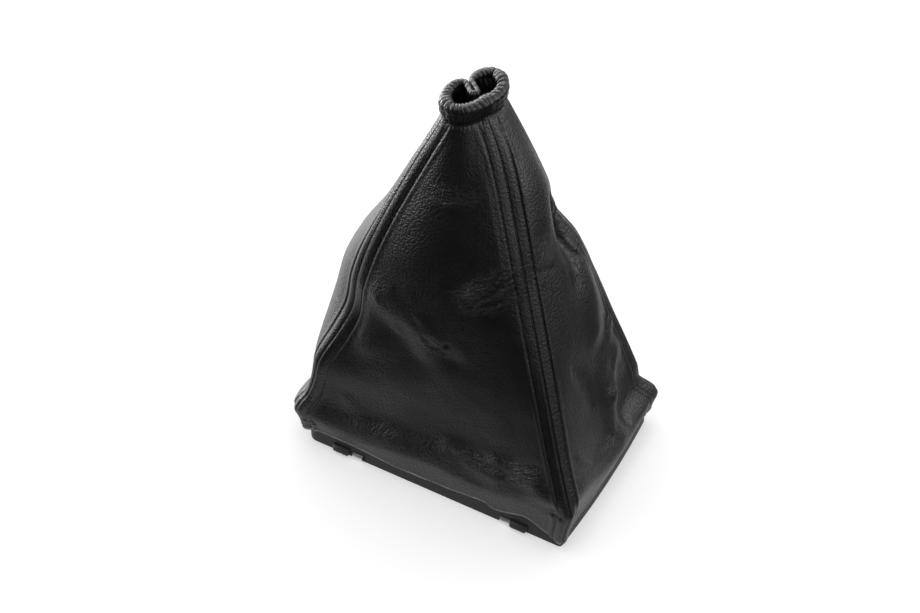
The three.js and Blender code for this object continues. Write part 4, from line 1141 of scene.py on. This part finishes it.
polish = add_node(tree, "MapRange", {"Value": deep.outputs[0], "From Min": 0.0, "From Max": 1.0,
                                     "To Min": 0.49, "To Max": 0.36})
worn_smooth = add_node(tree, "Attribute", attribute_name="rubbed")
smoother = add_node(tree, "MapRange", {"Value": worn_smooth.outputs["Fac"], "To Min": 1.0, "To Max": 0.86})
shine = add_node(tree, "MapRange", {"Value": crinkled.outputs[0], "To Min": 1.0, "To Max": 0.8})
smooth = add_node(tree, "Math", {0: smoother.outputs[0], 1: shine.outputs[0]}, operation="MULTIPLY")
gloss = add_node(tree, "Math", {0: polish.outputs[0], 1: smooth.outputs[0]}, operation="MULTIPLY")
tree.links.new(gloss.outputs[0], shader.inputs["Roughness"])

# The flesh side and the cut edge: raw split leather, grey-brown where the dye is thin, with a short nap.
NAP = 0.5
BLOTCH = 6.0
FLESH_DYED = "#4a4642"
FLESH_RAW = "#b9b2aa"
flesh, tree, shader = new_material("Leather_flesh_side")
shader.inputs["Roughness"].default_value = 0.95
spot = add_node(tree, "TexCoord")
nap = add_node(tree, "TexNoise", {"Vector": spot.outputs["Object"], "Scale": 1 / (NAP * MM), "Detail": 4.0})
blotch = add_node(tree, "TexNoise", {"Vector": spot.outputs["Object"], "Scale": 1 / (BLOTCH * MM), "Detail": 3.0})
mixed = add_node(tree, "Math", {0: nap.outputs["Fac"], 1: blotch.outputs["Fac"]}, operation="MULTIPLY")
thin = add_node(tree, "MapRange", {"Value": mixed.outputs[0], "From Min": 0.12, "From Max": 0.42})
raw = add_node(tree, "MixRGB", {"Fac": thin.outputs[0], "Color1": colour(FLESH_DYED),
                                "Color2": colour(FLESH_RAW)})
tree.links.new(raw.outputs[0], shader.inputs["Base Color"])
fuzz = add_node(tree, "Bump", {"Height": nap.outputs["Fac"], "Distance": 0.2 * MM, "Strength": 1.0})
tree.links.new(fuzz.outputs[0], shader.inputs["Normal"])

# Thread: black bonded polyester, three strands twisted together. It lies in short stitches on the face beside each
# seam and under the collar, and shows at the bottom of each corner's crevice between the two folds.
THREAD = 0.24
STITCH_PITCH = 3.4
STITCH_LENGTH = 2.7
STITCH_SINK = 0.3
STITCH_RISE = 0.35
FIRST_STITCH = 0.7
SEAM_THREAD = 0.26
SEAM_THREAD_RISE = 0.5
THREAD_SIDES = 6
TWIST = 0.5
THREAD_BLACK = "#0c0c0d"
THREAD_SHEEN = "#1d1d1f"


def band_scale(width):
    """The scale at which a wave texture's light and dark bands are each a width, in millimetres."""
    return 1 / (width * MM) / 6.3


yarn, tree, shader = new_material("Bonded_polyester_thread")
shader.inputs["Roughness"].default_value = 0.5
spot = add_node(tree, "TexCoord")
twist = add_node(tree, "TexWave", {"Vector": spot.outputs["Object"], "Scale": band_scale(TWIST),
                                   "Distortion": 0.6}, wave_type="BANDS", bands_direction="DIAGONAL")
# The lighter bands along the twist are a painted sheen on the black thread, not a second colour of strand.
painted_twist_sheen = add_node(tree, "MixRGB", {"Fac": twist.outputs["Fac"], "Color1": colour(THREAD_BLACK),
                                   "Color2": colour(THREAD_SHEEN)})
tree.links.new(painted_twist_sheen.outputs[0], shader.inputs["Base Color"])
twisted = add_node(tree, "Bump", {"Height": twist.outputs["Fac"], "Distance": 0.05 * MM, "Strength": 0.8})
tree.links.new(twisted.outputs[0], shader.inputs["Normal"])


def new_piece(name, points, sides, material):
    """A smooth piece from points in millimetres and its faces, with its material."""
    mesh = bpy.data.meshes.new(name)
    mesh.from_pydata([tuple(point) for point in np.asarray(points) * MM], [], sides)
    mesh.materials.append(material)
    piece = bpy.data.objects.new(name, mesh)
    bpy.context.collection.objects.link(piece)
    bpy.ops.object.select_all(action="DESELECT")
    piece.select_set(True)
    bpy.context.view_layer.objects.active = piece
    bpy.ops.object.shade_smooth()
    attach(piece, "root")
    return piece


def sew(name, lines):
    """Stitches along lines of points with their normals, each a small round length of thread, sunk at its ends."""
    bpy.ops.object.select_all(action="DESELECT")
    bpy.ops.mesh.primitive_uv_sphere_add(segments=8, ring_count=6, radius=1, location=(0, 0, 0))
    bead = bpy.context.object
    shape = np.array([vertex.co for vertex in bead.data.vertices])
    shape_sides = [list(face.vertices) for face in bead.data.polygons]
    bpy.data.objects.remove(bead)
    points, sides = [], []
    for line, normals in lines:
        along = np.concatenate([[0], np.cumsum(np.linalg.norm(np.diff(line, axis=0), axis=1))])
        for middle in np.arange(STITCH_PITCH * FIRST_STITCH, along[-1] - STITCH_LENGTH / 2, STITCH_PITCH):
            reach = middle + shape[:, 2] * STITCH_LENGTH / 2
            centre = np.stack([np.interp(reach, along, line[:, axis]) for axis in range(3)], axis=1)
            out = unit(np.stack([np.interp(reach, along, normals[:, axis]) for axis in range(3)], axis=1))
            ends = [np.array([np.interp(middle + side, along, line[:, axis]) for axis in range(3)])
                    for side in (-STITCH_LENGTH / 2, STITCH_LENGTH / 2)]
            aside = np.cross(out, unit(ends[1] - ends[0]))
            lift = THREAD * (STITCH_RISE + shape[:, 1]) - STITCH_SINK * shape[:, 2] ** 2
            first = len(points) * len(shape)
            points.append(centre + aside * (shape[:, :1] * THREAD) + out * lift[:, None])
            sides += [[first + corner for corner in side] for side in shape_sides]
    return new_piece(name, np.concatenate(points), sides, yarn)


def seam_thread(index):
    """The thread that shows at the bottom of a corner seam, between the two folds."""
    centre_a, _, outward_a = seam_fold(index, False)
    centre_b, _, outward_b = seam_fold((index + 3) % 4, True)
    out = unit(outward_a + outward_b)
    line = (centre_a + centre_b) / 2 + out * (fold_radius * SEAM_THREAD_RISE)[:, None]
    keep = ROW_KINDS != "flap"
    line, out = line[keep], out[keep]
    along = unit(np.gradient(line, axis=0))
    aside = np.cross(out, along)
    turns = np.linspace(0, 2 * math.pi, THREAD_SIDES, endpoint=False)[:, None]
    radius = (SEAM_THREAD * fold_radius[keep])[:, None, None]
    rings = line[:, None] + radius * (aside[:, None] * np.cos(turns) + out[:, None] * np.sin(turns))
    sides = []
    for row in range(len(line) - 1):
        for k in range(THREAD_SIDES):
            a, b = row * THREAD_SIDES + k, row * THREAD_SIDES + (k + 1) % THREAD_SIDES
            sides.append([a, b, b + THREAD_SIDES, a + THREAD_SIDES])
    last_ring = (len(line) - 1) * THREAD_SIDES
    sides += [list(range(THREAD_SIDES))[::-1], [last_ring + k for k in range(THREAD_SIDES)]]
    return new_piece(PANELS[index]["name"].replace("panel", "seam") + "_thread", rings.reshape(-1, 3), sides, yarn)


# Each panel starts as a flat grid, is laid over its points, gets its thickness and is then pared at the seams and
# cut at a slant at the foot.
SKIVED_SHARE = 0.8
SKIVED_WIDTH = (3.5, 7.5)


def skived(across):
    """Share of the leather's thickness that is left: it is pared down where it is folded tightly round a seam."""
    from_edge = across[:, -1:] - np.abs(across)
    return rising(from_edge, np.minimum(1, SKIVED_SHARE * fold_radius / LEATHER)[:, None], *SKIVED_WIDTH)


for index, panel in enumerate(PANELS):
    whole, across, up, crinkle, rubbed, stitch_rows = panel_grid(index)
    rows, columns = across.shape
    bpy.ops.object.select_all(action="DESELECT")
    bpy.ops.mesh.primitive_grid_add(x_subdivisions=columns - 1, y_subdivisions=rows - 1, size=1,
                                    location=(0, 0, 0))
    piece = bpy.context.object
    piece.name = panel["name"] + "_leather"
    mesh = piece.data
    mesh.vertices.foreach_set("co", (whole * MM).reshape(-1))
    layer = mesh.uv_layers.active or mesh.uv_layers.new(name="UVMap")
    corner_vertex = np.empty(len(mesh.loops), dtype=np.int64)
    mesh.loops.foreach_get("vertex_index", corner_vertex)
    flat_places = np.stack([across.reshape(-1), up.reshape(-1)], axis=1) * MM
    layer.data.foreach_set("uv", flat_places[corner_vertex].reshape(-1))
    mesh.attributes.new("crinkle", "FLOAT_VECTOR", "POINT").data.foreach_set("vector", crinkle.reshape(-1))
    mesh.attributes.new("rubbed", "FLOAT", "POINT").data.foreach_set("value", rubbed.reshape(-1))
    mesh.update()
    bpy.ops.object.shade_smooth()
    mesh.materials.append(leather)
    mesh.materials.append(flesh)
    bpy.ops.object.modifier_add(type="SOLIDIFY")
    solid = piece.modifiers[-1]
    solid.thickness = LEATHER * MM
    solid.offset = -1
    solid.material_offset = 1
    solid.material_offset_rim = 1
    bpy.ops.object.modifier_apply(modifier=solid.name)
    skins = np.empty(len(mesh.vertices) * 3)
    mesh.vertices.foreach_get("co", skins)
    outside, inside = skins.reshape(2, rows, columns, 3)
    inside += (outside - inside) * (1 - skived(across))[..., None]
    inside[0, :, 2] -= CUT_SLANT * MM
    mesh.vertices.foreach_set("co", skins)
    mesh.update()
    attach(piece, "root")
    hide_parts(panel["name"])
    stitches = sew(panel["name"].replace("panel", "topstitching"), stitch_rows)
    inner = seam_thread(index)

# ---------------------------------------------------------------------------------------------------------------
# Elastic: a flat woven band in the collar's tunnel, of covered rubber cords with a polyester weft over and under.
# ---------------------------------------------------------------------------------------------------------------
CORD = 0.9
WEFT = 0.6
ELASTIC_DARK = "#1a1a1c"
ELASTIC_LIGHT = "#3a3a3d"
elastic_material, tree, shader = new_material("Woven_elastic")
shader.inputs["Roughness"].default_value = 0.85
spot = add_node(tree, "TexCoord")
cords = add_node(tree, "TexWave", {"Vector": spot.outputs["Object"], "Scale": band_scale(CORD)},
                 wave_type="BANDS", bands_direction="Z")
wefts = add_node(tree, "TexWave", {"Vector": spot.outputs["Object"], "Scale": band_scale(WEFT)},
                 wave_type="BANDS", bands_direction="X")
woven = add_node(tree, "Math", {0: cords.outputs["Fac"], 1: wefts.outputs["Fac"]}, operation="MULTIPLY")
band = add_node(tree, "MixRGB", {"Fac": woven.outputs[0], "Color1": colour(ELASTIC_DARK),
                                 "Color2": colour(ELASTIC_LIGHT)})
tree.links.new(band.outputs[0], shader.inputs["Base Color"])
weave = add_node(tree, "Bump", {"Height": woven.outputs[0], "Distance": 0.2 * MM, "Strength": 0.8})
tree.links.new(weave.outputs[0], shader.inputs["Normal"])
elastic = bpy.data.objects["collar_elastic"]
elastic.data.materials.clear()
elastic.data.materials.append(elastic_material)
